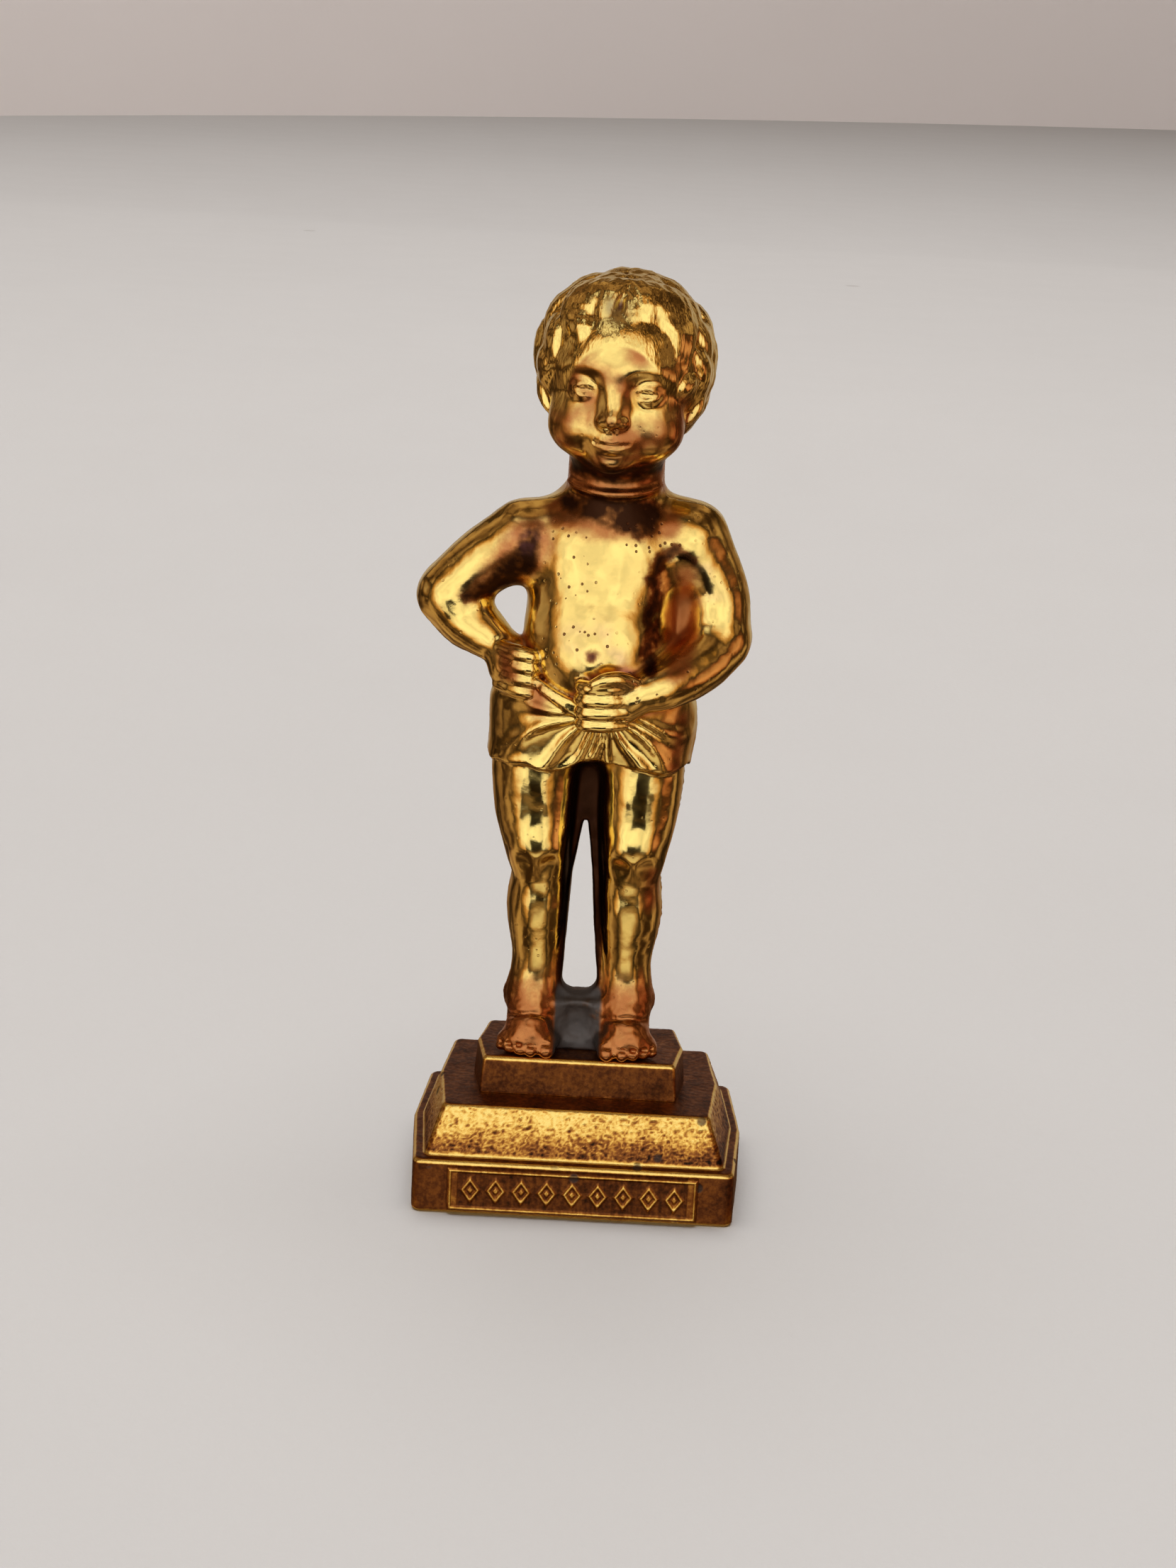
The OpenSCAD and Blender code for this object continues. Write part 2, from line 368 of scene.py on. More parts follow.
def head_coordinates(x, y, z):
    """The head's own x and z at places in the sculpt."""
    off = (x - HEAD_PIVOT[0], y - HEAD_PIVOT[1], z - HEAD_PIVOT[2])
    return (sum(HEAD_TURN[j][0] * off[j] for j in range(3)),
            HEAD_PIVOT[2] + sum(HEAD_TURN[j][2] * off[j] for j in range(3)))


def model_head(clay):
    clay.add(head_egg((0, 0.6, 65.4), (7.15, 7.5, 7.0)), 0.5, 3)
    clay.add(head_egg((0, -2.0, 62.0), (5.9, 5.4, 6.2)), 1.5, 3)
    clay.add(head_egg((0, -3.0, 66.5), (4.9, 3.85, 3.8)), 1.8, 3)
    clay.add(head_egg((0, -1.3, 59.4), (5.2, 4.9, 3.6)), 1.0, 3)
    for side in (-1, 1):
        clay.add(head_egg((side * 3.4, -4.2, 60.2), (2.5, 2.3, 2.4)), 1.5)
        brow = [(side * 1.6, -6.1, 65.5, 0.15), (side * 2.9, -5.9, 65.7, 0.2), (side * 4.3, -4.9, 65.1, 0.15)]
        clay.add(head_curve(brow), 2.2, 2.4)
    clay.add(head_egg((0, -5.8, 57.8), (1.7, 1.5, 1.4)), 1.3)
    clay.add(head_egg((0, -6.1, 59.5), (2.1, 1.45, 1.6)), 1.0)


def model_eye(clay, side):
    centre = np.array([side * 2.7, -5.55, 63.7])
    ball_r, lid_t = 1.25, 0.2
    clay.carve(head_egg((side * 2.95, -8.1, 63.8), (1.8, 1.2, 1.1)), 1.9)
    clay.add(head_egg(centre, (ball_r,) * 3), 0.05)
    lids = head_egg(centre, (ball_r + lid_t,) * 3)

    def opened(x, y, z):
        across, up = head_coordinates(x, y, z)
        across, up = (across - centre[0]) * side, up - centre[2]
        arch = 1 - (across / 1.22) ** 2
        gap = np.minimum(0.46 * arch + 0.06 - up, up + 0.42 * arch - 0.05 * across)
        return blend_max(lids.distance(x, y, z), gap * 0.8, 0.1)

    clay.add(Shape(lids.low, lids.high, opened), 0.45)
    clay.carve(head_egg(centre + (0, -ball_r - 0.28, 0.06), (0.45, 0.4, 0.45)), 0.08)
    fold = [(centre[0] + 1.25 * t, centre[1] - 1.72 + 0.75 * t * t, centre[2] + 0.98 - 0.5 * t * t, 0.08)
            for t in np.linspace(-1, 1, 9)]
    clay.carve(head_chain(fold), 0.3)


def model_nose(clay):
    bridge = [(0, -5.9, 65.2, 0.95), (0, -6.45, 63.6, 0.8), (0, -7.3, 62.2, 0.74), (0, -7.75, 61.5, 0.8)]
    clay.add(head_curve(bridge, 5), 1.2)
    for side in (-1, 1):
        clay.add(head_egg((side * 0.82, -7.35, 61.2), (0.55, 0.7, 0.48)), 0.3)
        clay.carve(head_chain([(side * 0.38, -8.1, 60.65, 0.16), (side * 0.45, -7.4, 61.0, 0.16)]), 0.15)


def model_mouth(clay):
    upper = [(-1.35, -6.95, 59.35, 0.12), (-0.65, -7.3, 59.6, 0.24), (0, -7.38, 59.48, 0.22),
             (0.65, -7.3, 59.6, 0.24), (1.35, -6.95, 59.35, 0.12)]
    lower = [(-1.1, -6.95, 59.05, 0.15), (0, -7.28, 58.8, 0.33), (1.1, -6.95, 59.05, 0.15)]
    line = [(-1.5, -7.1, 59.36, 0.08), (-0.75, -7.6, 59.23, 0.08), (0, -7.72, 59.2, 0.08),
            (0.75, -7.6, 59.23, 0.08), (1.5, -7.1, 59.36, 0.08)]
    clay.add(head_curve(upper), 0.5)
    clay.add(head_curve(lower, 5), 0.5)
    clay.carve(head_curve(line), 0.25)
    clay.carve(head_chain([(0, -7.8, 60.4, 0.2), (0, -7.75, 59.95, 0.2)]), 0.3)
    clay.carve(head_egg((0, -7.95, 57.95), (1.1, 0.6, 0.25)), 0.6)


def model_side_hair(clay, side):
    """The thick hair that hangs over the ear."""
    clay.add(head_egg((side * 5.1, 1.6, 62.0), (1.9, 3.7, 3.2)), 0.8)
    for i, y in enumerate(np.linspace(-1.9, 4.6, 9)):
        sway = 0.35 * (-1) ** i
        out = 7.15 - 0.03 * (y - 1.2) ** 2
        low = 59.5 - 0.2 * (i % 3) + 0.036 * (y - 2) ** 2
        hank = [(side * (out - 0.3), y - sway, 64.8, 0.3), (side * out, y + sway, 62.9, 0.5),
                (side * (out - 0.3), y + 0.4 * sway, 61.4, 0.5), (side * (out - 1.5), y - sway, low, 0.2)]
        clay.add(head_curve(hank), 0.18, 0.6)


SCALP_CENTRE = np.array([0, 0.6, 65.2])
SCALP_RADII = np.array([7.5, 7.7, 7.3])
CROWN_LEAN = 14                           # degrees that the hair's whorl lies behind the top


def scalp(theta, phi, lift):
    """A point over the scalp: theta degrees from the whorl, phi degrees round from the front."""
    t, f, lean = (math.radians(v) for v in (theta, phi, CROWN_LEAN))
    way = np.array([math.sin(t) * math.sin(f), -math.sin(t) * math.cos(f), math.cos(t)])
    way[1:] = (way[1] * math.cos(lean) + way[2] * math.sin(lean),
               way[2] * math.cos(lean) - way[1] * math.sin(lean))
    return SCALP_CENTRE + way * (SCALP_RADII + lift)


def model_lock(clay, theta, phi, length, sway, width, lift, strands=3):
    """A tapering lock of hair that runs down from theta and swings round by sway degrees."""
    for strand in range(strands):
        across = (strand - (strands - 1) / 2) * width * 0.62
        points = []
        for t in np.linspace(0, 1, 8):
            at = theta + length * t
            spread = math.degrees(across * (1 - 0.75 * t) / 7.4) / max(math.sin(math.radians(at)), 0.3)
            swing = sway * math.sin(2.4 * t) / max(math.sin(math.radians(at)), 0.45)
            swell = math.sin(math.pi * min(t + 0.12, 1) ** 0.8)
            rise = lift * swell - 0.15 + (0.1 if strand == (strands - 1) / 2 else 0)
            points.append((*scalp(at, phi + swing + spread, rise), width * (0.2 + 0.26 * swell)))
        clay.add(head_chain(points), 0.24, 0.6)


HAIR_RINGS = (                            # theta (see scalp), locks, length, width, lift
    (116, 14, 34, 1.0, 0.1),
    (100, 15, 38, 1.15, 0.2),
    (82, 15, 42, 1.25, 0.3),
    (62, 15, 44, 1.3, 0.36),
    (40, 13, 44, 1.35, 0.42),
    (20, 9, 42, 1.35, 0.45),
    (3, 6, 38, 1.25, 0.45),
)
HAIRLINE = ((0, 70), (30, 78), (46, 98), (60, 122), (84, 128), (100, 128), (120, 134), (180, 138))
FRINGE_THETA = 34
FRINGE = ((-34, -8, 50, 0.7), (-19, -10, 43, 0.8), (-4, -9, 36, 0.85), (9, 9, 37, 0.9),
          (23, 10, 44, 0.8), (38, 7, 52, 0.7))    # phi, sway, length, lift
FACE_AREA = head_egg((0, -9.6, 60.2), (5.6, 6.6, 8.0))
NAPE_AREA = head_egg((0, 0.5, 54.0), (9, 9.5, 5.2))


def hair_share(points):
    """1 on the hair, 0 on the face, the neck and the body."""
    x, y, z = points.T
    off_face = unit_step(FACE_AREA.distance(x, y, z), 0, 0.6)
    return off_face * unit_step(NAPE_AREA.distance(x, y, z), -0.4, 0.4) * unit_step(z, 58.2, 59.2)


def model_hair(clay):
    """A cap over the scalp, rings of locks from the nape up, and the fringe on top of them."""
    rng = random.Random(11)
    cap = head_egg(SCALP_CENTRE, SCALP_RADII + 0.15)

    def covered(x, y, z):
        skin = cap.distance(x, y, z)
        skin = blend_max(skin, -FACE_AREA.distance(x, y, z), 0.6)
        return blend_max(skin, -NAPE_AREA.distance(x, y, z), 0.6)

    clay.add(Shape(cap.low, cap.high, covered), 0.2)
    for theta, count, length, width, lift in HAIR_RINGS:
        for i in range(count):
            phi = 360 * (i + 0.5 * (count % 2)) / count + rng.uniform(-5, 5)
            start = theta + rng.uniform(-4, 4)
            reach = length * rng.uniform(0.85, 1.1)
            sway = rng.choice((-1, 1)) * rng.uniform(4, 11)
            front = abs((phi + 180) % 360 - 180)
            limit = np.interp(front, *zip(*HAIRLINE))
            if start > limit - 14:
                continue
            reach = min(reach, limit - start)
            model_lock(clay, start, phi, reach, sway, width, lift)
    for phi, sway, length, lift in FRINGE:
        model_lock(clay, FRINGE_THETA, phi, length, sway, 1.4, lift)


def model_neck(clay):
    clay.add(chain([(0.8, 0.9, 59, 4.25), (0.75, 0.9, 52, 4.45)]), 0.8, 3)


def model_neck_rim(clay):
    """The crisp fold in front, where the neck meets the chest."""
    for radius, z, r, raised in ((4.5, 53.9, 0.2, True), (4.75, 54.6, 0.1, False)):
        ring = [(0.75 + radius * math.sin(a), 0.75 - radius * math.cos(a), z + 0.9 * (1 - math.cos(a)),
                 max(r * math.cos(1.25 * a), 0.02))
                for a in np.linspace(-1.2, 1.2, 25)]
        if raised:
            clay.add(chain(ring), 0.9)
        else:
            clay.carve(chain(ring), 0.4)


def model_torso(clay):
    masses = (                            # centre, radii, blend
        ((0.2, 0.5, 47.2), (7.2, 4.7, 6.0), 0.5),
        ((-0.1, -0.8, 41.2), (6.85, 5.4, 6.4), 2.2),
        ((-0.1, -2.5, 38.5), (5.6, 4.4, 4.9), 2.2),
        ((-0.4, 0.2, 33.6), (8.3, 5.2, 5.6), 1.6),
        ((0.2, -0.4, 47.8), (5.9, 3.5, 4.8), 2.6),
        ((-3.4, 3.5, 47.6), (2.8, 1.9, 3.4), 1.4),
        ((3.8, 3.5, 47.8), (2.8, 1.9, 3.4), 1.4),
    )
    for centre, radii, k in masses:
        clay.add(egg(centre, radii), k, 3)
    for side in (-1, 1):
        clay.add(chain([(0.7, 1.3, 51.6, 3.0), (0.7 + side * 7.2, 0.9, 49.4 + 0.3 * side, 2.8)]), 1.6, 3)
        clay.add(chain([(0.8 + side * 1.2, 3.4, 57, 1.5), (0.7 + side * 3.2, 3.4, 51.5, 1.9)]), 2.0, 3)
    spine = [(0.4, 6.9, 51, 0.9), (0.2, 7.0, 46, 1.0), (0, 6.3, 40, 1.1), (-0.2, 6.1, 36.5, 0.8)]
    clay.carve(curve(spine), 2.0)
    clay.carve(chain([(-0.6, -7.3, 39.9, 0.25), (-0.6, -6.8, 39.8, 0.2)]), 0.6)


def model_arms(clay):
    hip_upper = [(-7.5, 0.6, 48.6, 3.5), (-11.0, 1.0, 46.2, 3.1), (-13.8, 1.1, 43.4, 2.95)]
    hip_fore = [(-13.9, 1.1, 42.9, 3.0), (-12.2, 0.6, 41.0, 2.75), (-10.5, -0.4, 39.9, 2.25),
                (-9.0, -1.3, 39.0, 1.85)]
    front_upper = [(7.7, 0.8, 49.0, 3.6), (10.2, 0.6, 45.0, 3.05), (10.8, -0.2, 41.0, 2.95)]
    front_fore = [(10.8, -0.6, 40.2, 2.95), (8.7, -3.0, 38.4, 2.75), (6.2, -5.2, 37.2, 2.35),
                  (4.0, -6.4, 36.5, 1.85)]
    for upper, fore in ((hip_upper, hip_fore), (front_upper, front_fore)):
        clay.add(curve(upper, 5), 1.6, 3)
        clay.add(curve(fore, 5), 0.7, 3)


def add_finger(clay, points, k=0.12):
    clay.add(curve(points), k, 0.8)


def model_hip_hand(clay):
    clay.add(egg((-8.2, -2.2, 37.7), (1.9, 1.9, 2.4)), 0.8)
    for i, r in enumerate((0.72, 0.74, 0.7, 0.6)):
        z = 39.25 - 1.14 * i
        add_finger(clay, [(-9.0, -2.6, z, r), (-7.7, -4.1, z - 0.05, r + 0.08),
                          (-6.3, -4.75, z - 0.2, r), (-5.6, -4.5, z - 0.45, r - 0.14)])
    add_finger(clay, [(-9.4, -0.9, 38.9, 0.8), (-8.9, 1.0, 38.2, 0.72), (-7.8, 2.6, 37.8, 0.55)], 0.4)


def model_fist(clay):
    clay.add(egg((2.1, -6.6, 35.8), (2.3, 1.75, 2.2)), 0.8)
    for i, r in enumerate((0.7, 0.74, 0.69, 0.58)):
        z = 37.3 - 1.15 * i
        add_finger(clay, [(2.6, -7.7, z, r - 0.12), (0.9, -8.2, z, r + 0.06), (-0.7, -8.1, z - 0.05, r),
                          (-1.3, -7.2, z - 0.1, r - 0.05), (-0.6, -6.3, z - 0.1, r - 0.1)])
    add_finger(clay, [(3.6, -7.1, 37.3, 0.8), (2.2, -8.0, 38.1, 0.74), (0.8, -8.55, 38.15, 0.68),
                      (-0.2, -8.6, 37.75, 0.52)], 0.15)


# Leg paths run from the hip to the ankle; left and right are the viewer's, from the front.
LEFT_LEG = [(-4.4, 0.2, 33.5, 4.5), (-5.3, -0.3, 28.5, 4.15), (-5.3, -0.5, 24.4, 3.85),
            (-4.9, -1.1, 20.2, 3.1), (-4.5, -0.6, 17.2, 2.65), (-4.65, -0.25, 13.6, 2.8),
            (-4.5, 0.15, 9.0, 2.35), (-4.8, 0.2, 5.0, 2.45)]
RIGHT_LEG = [(4.0, 0.2, 33.5, 4.4), (4.5, -0.4, 28.5, 3.95), (4.4, -0.6, 24.0, 3.7),
             (4.1, -1.1, 20.2, 3.15), (3.9, -0.5, 17.2, 2.8), (4.05, -0.2, 13.6, 2.9),
             (3.9, 0.15, 9.0, 2.4), (4.1, 0.2, 5.0, 2.45)]


KNEE, CALF, ANKLE = 3, 5, 7               # the points of a leg's path that are there


def model_leg(clay, path, side):
    """Thigh, shin, calf, heel and foot; side is -1 for the leg at -X."""
    clay.add(curve(path), 1.0, 3)
    calf_x, x = path[CALF][0], path[ANKLE][0]
    clay.add(egg((calf_x, 1.6, 14.4), (2.2, 1.8, 4.4)), 2.2)
    clay.add(egg((x, 1.8, 2.0), (2.2, 2.2, 2.5)), 1.0)
    clay.add(chain([(x, -0.2, 4.6, 2.4), (x + side * 0.2, -2.4, 1.9, 2.1)]), 1.0)
    clay.add(egg((x + side * 0.2, -2.7, 1.1), (2.9, 1.9, 1.4)), 0.8)


TOES = (                                  # how far out from the ankle, y, radius
    (-1.6, -4.05, 0.86), (-0.15, -4.3, 0.66), (0.95, -4.1, 0.6), (1.9, -3.75, 0.55), (2.7, -3.3, 0.5),
)


def model_leg_details(clay, path, side):
    """Kneecap, ankle bones and toes, of which the big ones are innermost."""
    knee_x, ankle_x = path[KNEE][0], path[ANKLE][0]
    clay.add(egg((knee_x, -3.0, 20.6), (1.9, 1.2, 2.0)), 1.2)
    for out in (-1, 1):
        clay.carve(egg((knee_x + out * 1.5, -4.5, 18.8), (0.7, 0.6, 0.6)), 1.4)
        clay.add(egg((ankle_x + out * 2.1, 0.7, 4.5), (0.6, 0.9, 0.9)), 0.7)
    for out, y, r in TOES:
        x = ankle_x + side * out
        add_finger(clay, [(x - side * 0.25, y + 1.5, 1.15, r), (x - side * 0.05, y + 0.5, 1.0, r),
                          (x, y, 0.66, r)], 0.3)
        clay.carve(egg((x, y - 0.62 * r, 0.66 + 0.85 * r), (0.55 * r, 0.45 * r, 0.2)), 0.12)
    fold = [(ankle_x + 2.7 * math.sin(a), -0.5 - 2.9 * math.cos(a), 3.7 + 0.3 * math.cos(3 * a), 0.16)
            for a in np.linspace(-1.3, 1.3, 15)]
    clay.carve(chain(fold), 0.5)


def through(points):
    """A chain seen from the front and run right through the figure from front to back."""
    flat = chain([(x, 0, z, r) for x, z, r in points])
    low, high = flat.low + [0, -20, 0], flat.high + [0, 20, 0]
    return Shape(low, high, lambda x, y, z: flat.distance(x, 0 * y, z))


def peg(x, z, r, reach):
    """A flat-ended hole or pin across the seam plane."""
    hole = through([(x, z, r), (x, z + 0.01, r)])
    low, high = hole.low * [1, 0, 1] - [0, reach, 0], hole.high * [1, 0, 1] + [0, reach, 0]
    return Shape(low, high, lambda x, y, z: np.maximum(hole.distance(x, y, z), np.abs(y) - reach))


def model_webs(clay):
    """The plates of metal left where the two halves of the mould met."""
    clay.add(slab((-4.6, -0.9, 4.0), (3.9, 0.9, 32), 0.3), 0.6)
    clay.carve(through([(-0.5, 22.3, 0.25), (-0.6, 17.5, 0.95), (-0.55, 12, 1.3), (-0.4, 6.8, 1.7)]), 0.3)
    clay.add(slab((-3.6, -2.0, -1), (2.9, 2.3, 4.9), 0.5), 0.8)
    clay.carve(egg((-0.4, -2.6, 2.9), (1.75, 1.3, 2.1)), 0.5)
    clay.add(slab((4.5, -0.3, 36.5), (10, 1.3, 48.5), 0.3), 1.6)
    clay.add(chain([(8.1, -0.5, 47.5, 0.3), (7.8, -0.6, 43, 0.35), (7.2, -1.1, 39.6, 0.4)]), 0.7)


def unit_step(value, low, high):
    """0 below low and 1 above high, with a soft step between."""
    t = np.clip((value - low) / (high - low), 0, 1)
    return t * t * (3 - 2 * t)


def band(value, low, high, soft):
    """1 between low and high, with soft ends."""
    return unit_step(value, low - soft, low + soft) * (1 - unit_step(value, high - soft, high + soft))


WRAP_Z = (26.0, 41.0)                     # the stretch of the body that the wrap's grid covers
WRAP_T = 0.1                              # the cloth's stand-off; the blends below add as much again
HEM_Z = 28.5
FIST_X, FIST_Z = 0.9, 34.8                # where the fist gathers the cloth, which its folds run to
FOLDS = ((-86, 0.34, 5), (-66, 0.42, 5), (-47, 0.4, 5), (-29, 0.36, 5), (-11, 0.3, 5),
         (8, 0.3, 5), (27, 0.36, 5), (48, 0.4, 6), (72, 0.36, 6))    # angle, height, half-width


def waist_height(x, y):
    """The wrap's upper edge: low under the belly in front, level behind."""
    front = 34.6 + 0.52 * np.maximum(np.abs(x + 0.6) - 1.0, 0)
    back = 37.2 - 0.35 * np.cos(np.clip(x / 7, -1, 1) * math.pi)
    return front + (back - front) * unit_step(y, -2.5, 3)


def hem_height(x, y):
    lifted = 0.9 * np.exp(-((x - FIST_X) / 2.6) ** 2) * unit_step(-y, 0, 3)
    return HEM_Z + lifted + 0.22 * np.sin(1.15 * x + 0.7 * y) + 0.12 * np.sin(2.3 * y - x)


def fold_height(x, y, z):
    """How far the cloth's folds stand out: they fan out from the fist in front and hang behind."""
    across, down = x - FIST_X, FIST_Z - z
    angle = np.degrees(np.arctan2(across, down))
    reach = np.sqrt(across ** 2 + down ** 2)
    fan = 0
    for i, (at, height, width) in enumerate(FOLDS):
        bend = at + 5 * np.sin(0.55 * reach + 1.7 * i)
        fan = fan + height * np.exp(-((angle - bend) / width) ** 2)
    fan = fan * unit_step(reach, 1.0, 3.0) * (1 - 0.6 * unit_step(reach, 6, 11))
    round_body = np.arctan2(x + 0.4, y)
    hang = 0.16 * (1 + np.sin(9 * round_body + 1.5 * np.sin(0.5 * z))) * unit_step(37 - z, 0, 4)
    return fan * unit_step(-y, -1, 2.5) + hang * unit_step(y, -2, 1.5)


def model_wrap(clay):
    """A short cloth round the hips, cast in one with the body."""
    z_axis = clay.axes[2]
    span = slice(np.searchsorted(z_axis, WRAP_Z[0]), np.searchsorted(z_axis, WRAP_Z[1]))
    loins = Clay([clay.axes[0], clay.axes[1], z_axis[span]])
    for centre, radii in (((-0.4, 0.2, 33.6), (8.3, 5.2, 5.8)), ((-0.1, -2.3, 38.2), (5.6, 4.1, 4.9)),
                          ((-3.3, 2.2, 31.6), (4.3, 3.9, 4.6)), ((2.7, 2.2, 31.6), (4.3, 3.9, 4.6))):
        loins.add(egg(centre, radii), 2.5, 4)
    for leg in (LEFT_LEG, RIGHT_LEG):
        loins.add(chain([(x, y, z, r + 0.1) for x, y, z, r in smooth_path(leg, 4)[:13]]), 3.2, 4)
    loins.soften(0.8)
    x, y, z = np.meshgrid(*(a.astype(np.float32) for a in loins.axes), indexing="ij", sparse=True)
    flare = 0.15 * np.exp(-np.maximum(z - hem_height(x, y), 0) / 0.8)
    cloth = loins.field - WRAP_T - flare - fold_height(x, y, z)
    cloth = blend_max(cloth, z - waist_height(x, y) - 0.2, 0.4)
    cloth = blend_max(cloth, hem_height(x, y) - z, 0.35)
    clay.field[:, :, span] = blend_min(clay.field[:, :, span], cloth, 0.12)
    model_waistband(clay, loins)


def model_waistband(clay, loins):
    """Two rolls of cloth, one over the other, that lie along the wrap's upper edge."""
    steps, reach = 180, np.linspace(2.5, 11, 70)
    for rise, radius in ((0.32, 0.42), (-0.3, 0.46)):
        roll = []
        for i in range(steps + 1):
            a = 2 * math.pi * i / steps
            way = np.array([math.sin(a), -math.cos(a)])
            spots = np.array([-0.4, 0]) + reach[:, None] * way
            height = waist_height(spots[:, 0], spots[:, 1]) + rise + 0.1 * math.sin(5 * a + 4 * rise)
            outside = loins.sample([loins.field], np.column_stack([spots, height]))[0]
            k = int(np.argmax(outside > 0.08))
            roll.append((*spots[k], height[k], radius * (0.85 + 0.15 * math.sin(7 * a + 9 * rise))))
        for piece in range(0, steps, 20):
            clay.add(chain(roll[piece:piece + 21]), 0.15, 0.8)


SHELL_PINS = ((-9.4, 48.0), (8.9, 47.6), (-5.2, 24.5), (4.4, 24.5))
FOOT_PINS = ((-4.9, 0.6), (4.1, 0.6))
SHELL_PIN_R, SHELL_PIN_REACH = 0.8, 1.85  # the holes, with the pins' clearance
FOOT_PIN_R, FOOT_PIN_TOP = 1.06, 3.3
WALL = 2.2                                # thickness of the cast walls


def carve_inside(clay):
    """The hollow in trunk and head, and the holes for the pins."""
    heart = [(0.4, 0.2, 33.5, 5.5), (0.4, 0, 46.5, 6.0), (0.9, 0.8, 55, 3.5), (0.95, 0.6, 65.5, 8.0)]
    core = limb(heart, 1.5)
    slices, place = clay.region(core.low, core.high)
    hollow = blend_max(clay.field[slices] + WALL, core.distance(*place), 0.8)
    clay.field[slices] = np.maximum(clay.field[slices], -hollow)
    for x, z in SHELL_PINS:
        clay.carve(peg(x, z, SHELL_PIN_R, SHELL_PIN_REACH), 0.05)
    for x, y in FOOT_PINS:
        clay.carve(chain([(x, y, -2, FOOT_PIN_R), (x, y, FOOT_PIN_TOP, FOOT_PIN_R)]), 0.05)


def sculpt_figure():
    """The whole figure in one block of clay. The grid is finest at the face, hands, wrap and feet."""
    clay = Clay([
        graded_axis(((-17.6, 0.28), (-10.8, 0.28), (-9.2, 0.2), (9.2, 0.2), (11, 0.28), (14.6, 0.28))),
        graded_axis(((-10.2, 0.2), (9.3, 0.2))),
        graded_axis(((-0.7, 0.18), (5, 0.18), (8, 0.33), (26, 0.33), (28, 0.2), (41, 0.2), (43, 0.3),
                     (51, 0.3), (54, 0.17), (75, 0.17))),
    ])
    model_torso(clay)
    legs = ((LEFT_LEG, -1), (RIGHT_LEG, 1))
    for path, side in legs:
        model_leg(clay, path, side)
    model_neck(clay)
    model_arms(clay)
    clay.soften(0.8)
    for path, side in legs:
        model_leg_details(clay, path, side)
    model_webs(clay)
    model_wrap(clay)
    model_head(clay)
    model_neck_rim(clay)
    for side in (-1, 1):
        model_eye(clay, side)
        model_side_hair(clay, side)
    model_nose(clay)
    model_mouth(clay)
    model_hair(clay)
    model_hip_hand(clay)
    model_fist(clay)
    clay.field = np.maximum(clay.field, -clay.axes[2].astype(np.float32))    # flat soles
    return clay


def to_frame(points):
    """Sculpt millimetres to the frame's metres."""
    return points * SCULPT_SCALE + np.array([0, 0, FIGURE_LOW.z])


def link(name, data):
    """Puts a new object in the scene."""
    obj = bpy.data.objects.new(name, data)
    bpy.context.scene.collection.objects.link(obj)
    return obj


def new_mesh(name, points, faces):
    mesh = bpy.data.meshes.new(name)
    mesh.from_pydata(points.tolist(), [], faces.tolist())
    mesh.shade_smooth()
    return link(name, mesh)


@contextmanager
def editing(mesh):
    """A mesh's bmesh, which is written back to it at the end."""
    bm = bmesh.new()
    bm.from_mesh(mesh)
    yield bm
    bm.to_mesh(mesh)
    bm.free()


def surface_normals(points, quads):
    corners = points[quads]
    across = np.cross(corners[:, 2] - corners[:, 0], corners[:, 3] - corners[:, 1])
    total = np.zeros_like(points)
    for i in range(4):
        for axis in range(3):
            total[:, axis] += np.bincount(quads[:, i], across[:, axis], len(points))
    return total / np.maximum(np.linalg.norm(total, axis=1, keepdims=True), 1e-12)


def noise_at(points, scale, seed):
    """Blender's gradient noise, with features about 1 / scale long."""
    shift = Vector((seed * 7.3, seed * 3.1, seed * 5.7))
    return np.array([noise.noise(Vector(p) + shift) for p in (points * scale).tolist()])


def cast_relief(points, quads):
    """The small unevenness of a casting: soft ripples, and a rough ridge where the mould parted."""
    normals = surface_normals(points, quads)
    x, y, z = points.T
    lift = 0.05 * noise_at(points, 0.45, 1) + 0.02 * noise_at(points, 1.1, 17)
    near_seam = np.exp(-(y / 0.34) ** 2)
    rough_thigh = unit_step(x, 5.5, 6.5) * unit_step(z, 8, 14) * (1 - unit_step(z, 27.5, 28.5))
    rough = near_seam * (0.02 + 0.13 * rough_thigh)
    feet = 1 - unit_step(z, 4, 9)
    lift = lift + feet * (0.06 * noise_at(points, 1.3, 15) + 0.035 * noise_at(points, 2.8, 16))
    lift = lift + near_seam * 0.05 * (1 - unit_step(z, 52, 54)) + rough * noise_at(points, 2.6, 2)
    return points + normals * lift[:, None]


def near(points, spot, reach):
    """1 at a spot, falling softly to 0 about twice its reach away; reach is (x, y, z)."""
    return np.exp(-(((points - spot) / reach) ** 2).sum(1))


def front_patch(points, paths, soft):
    """Patches on the front of the figure, for painted shade, painted reflection, coppery tone and pits; each
    path is (x, z, half-width) points.
    """
    x, y, z = points.T
    off = np.minimum.reduce([through(path).distance(x, y, z) for path in paths])
    return (1 - unit_step(off, -soft, soft)) * unit_step(-y, 0, 1.2)
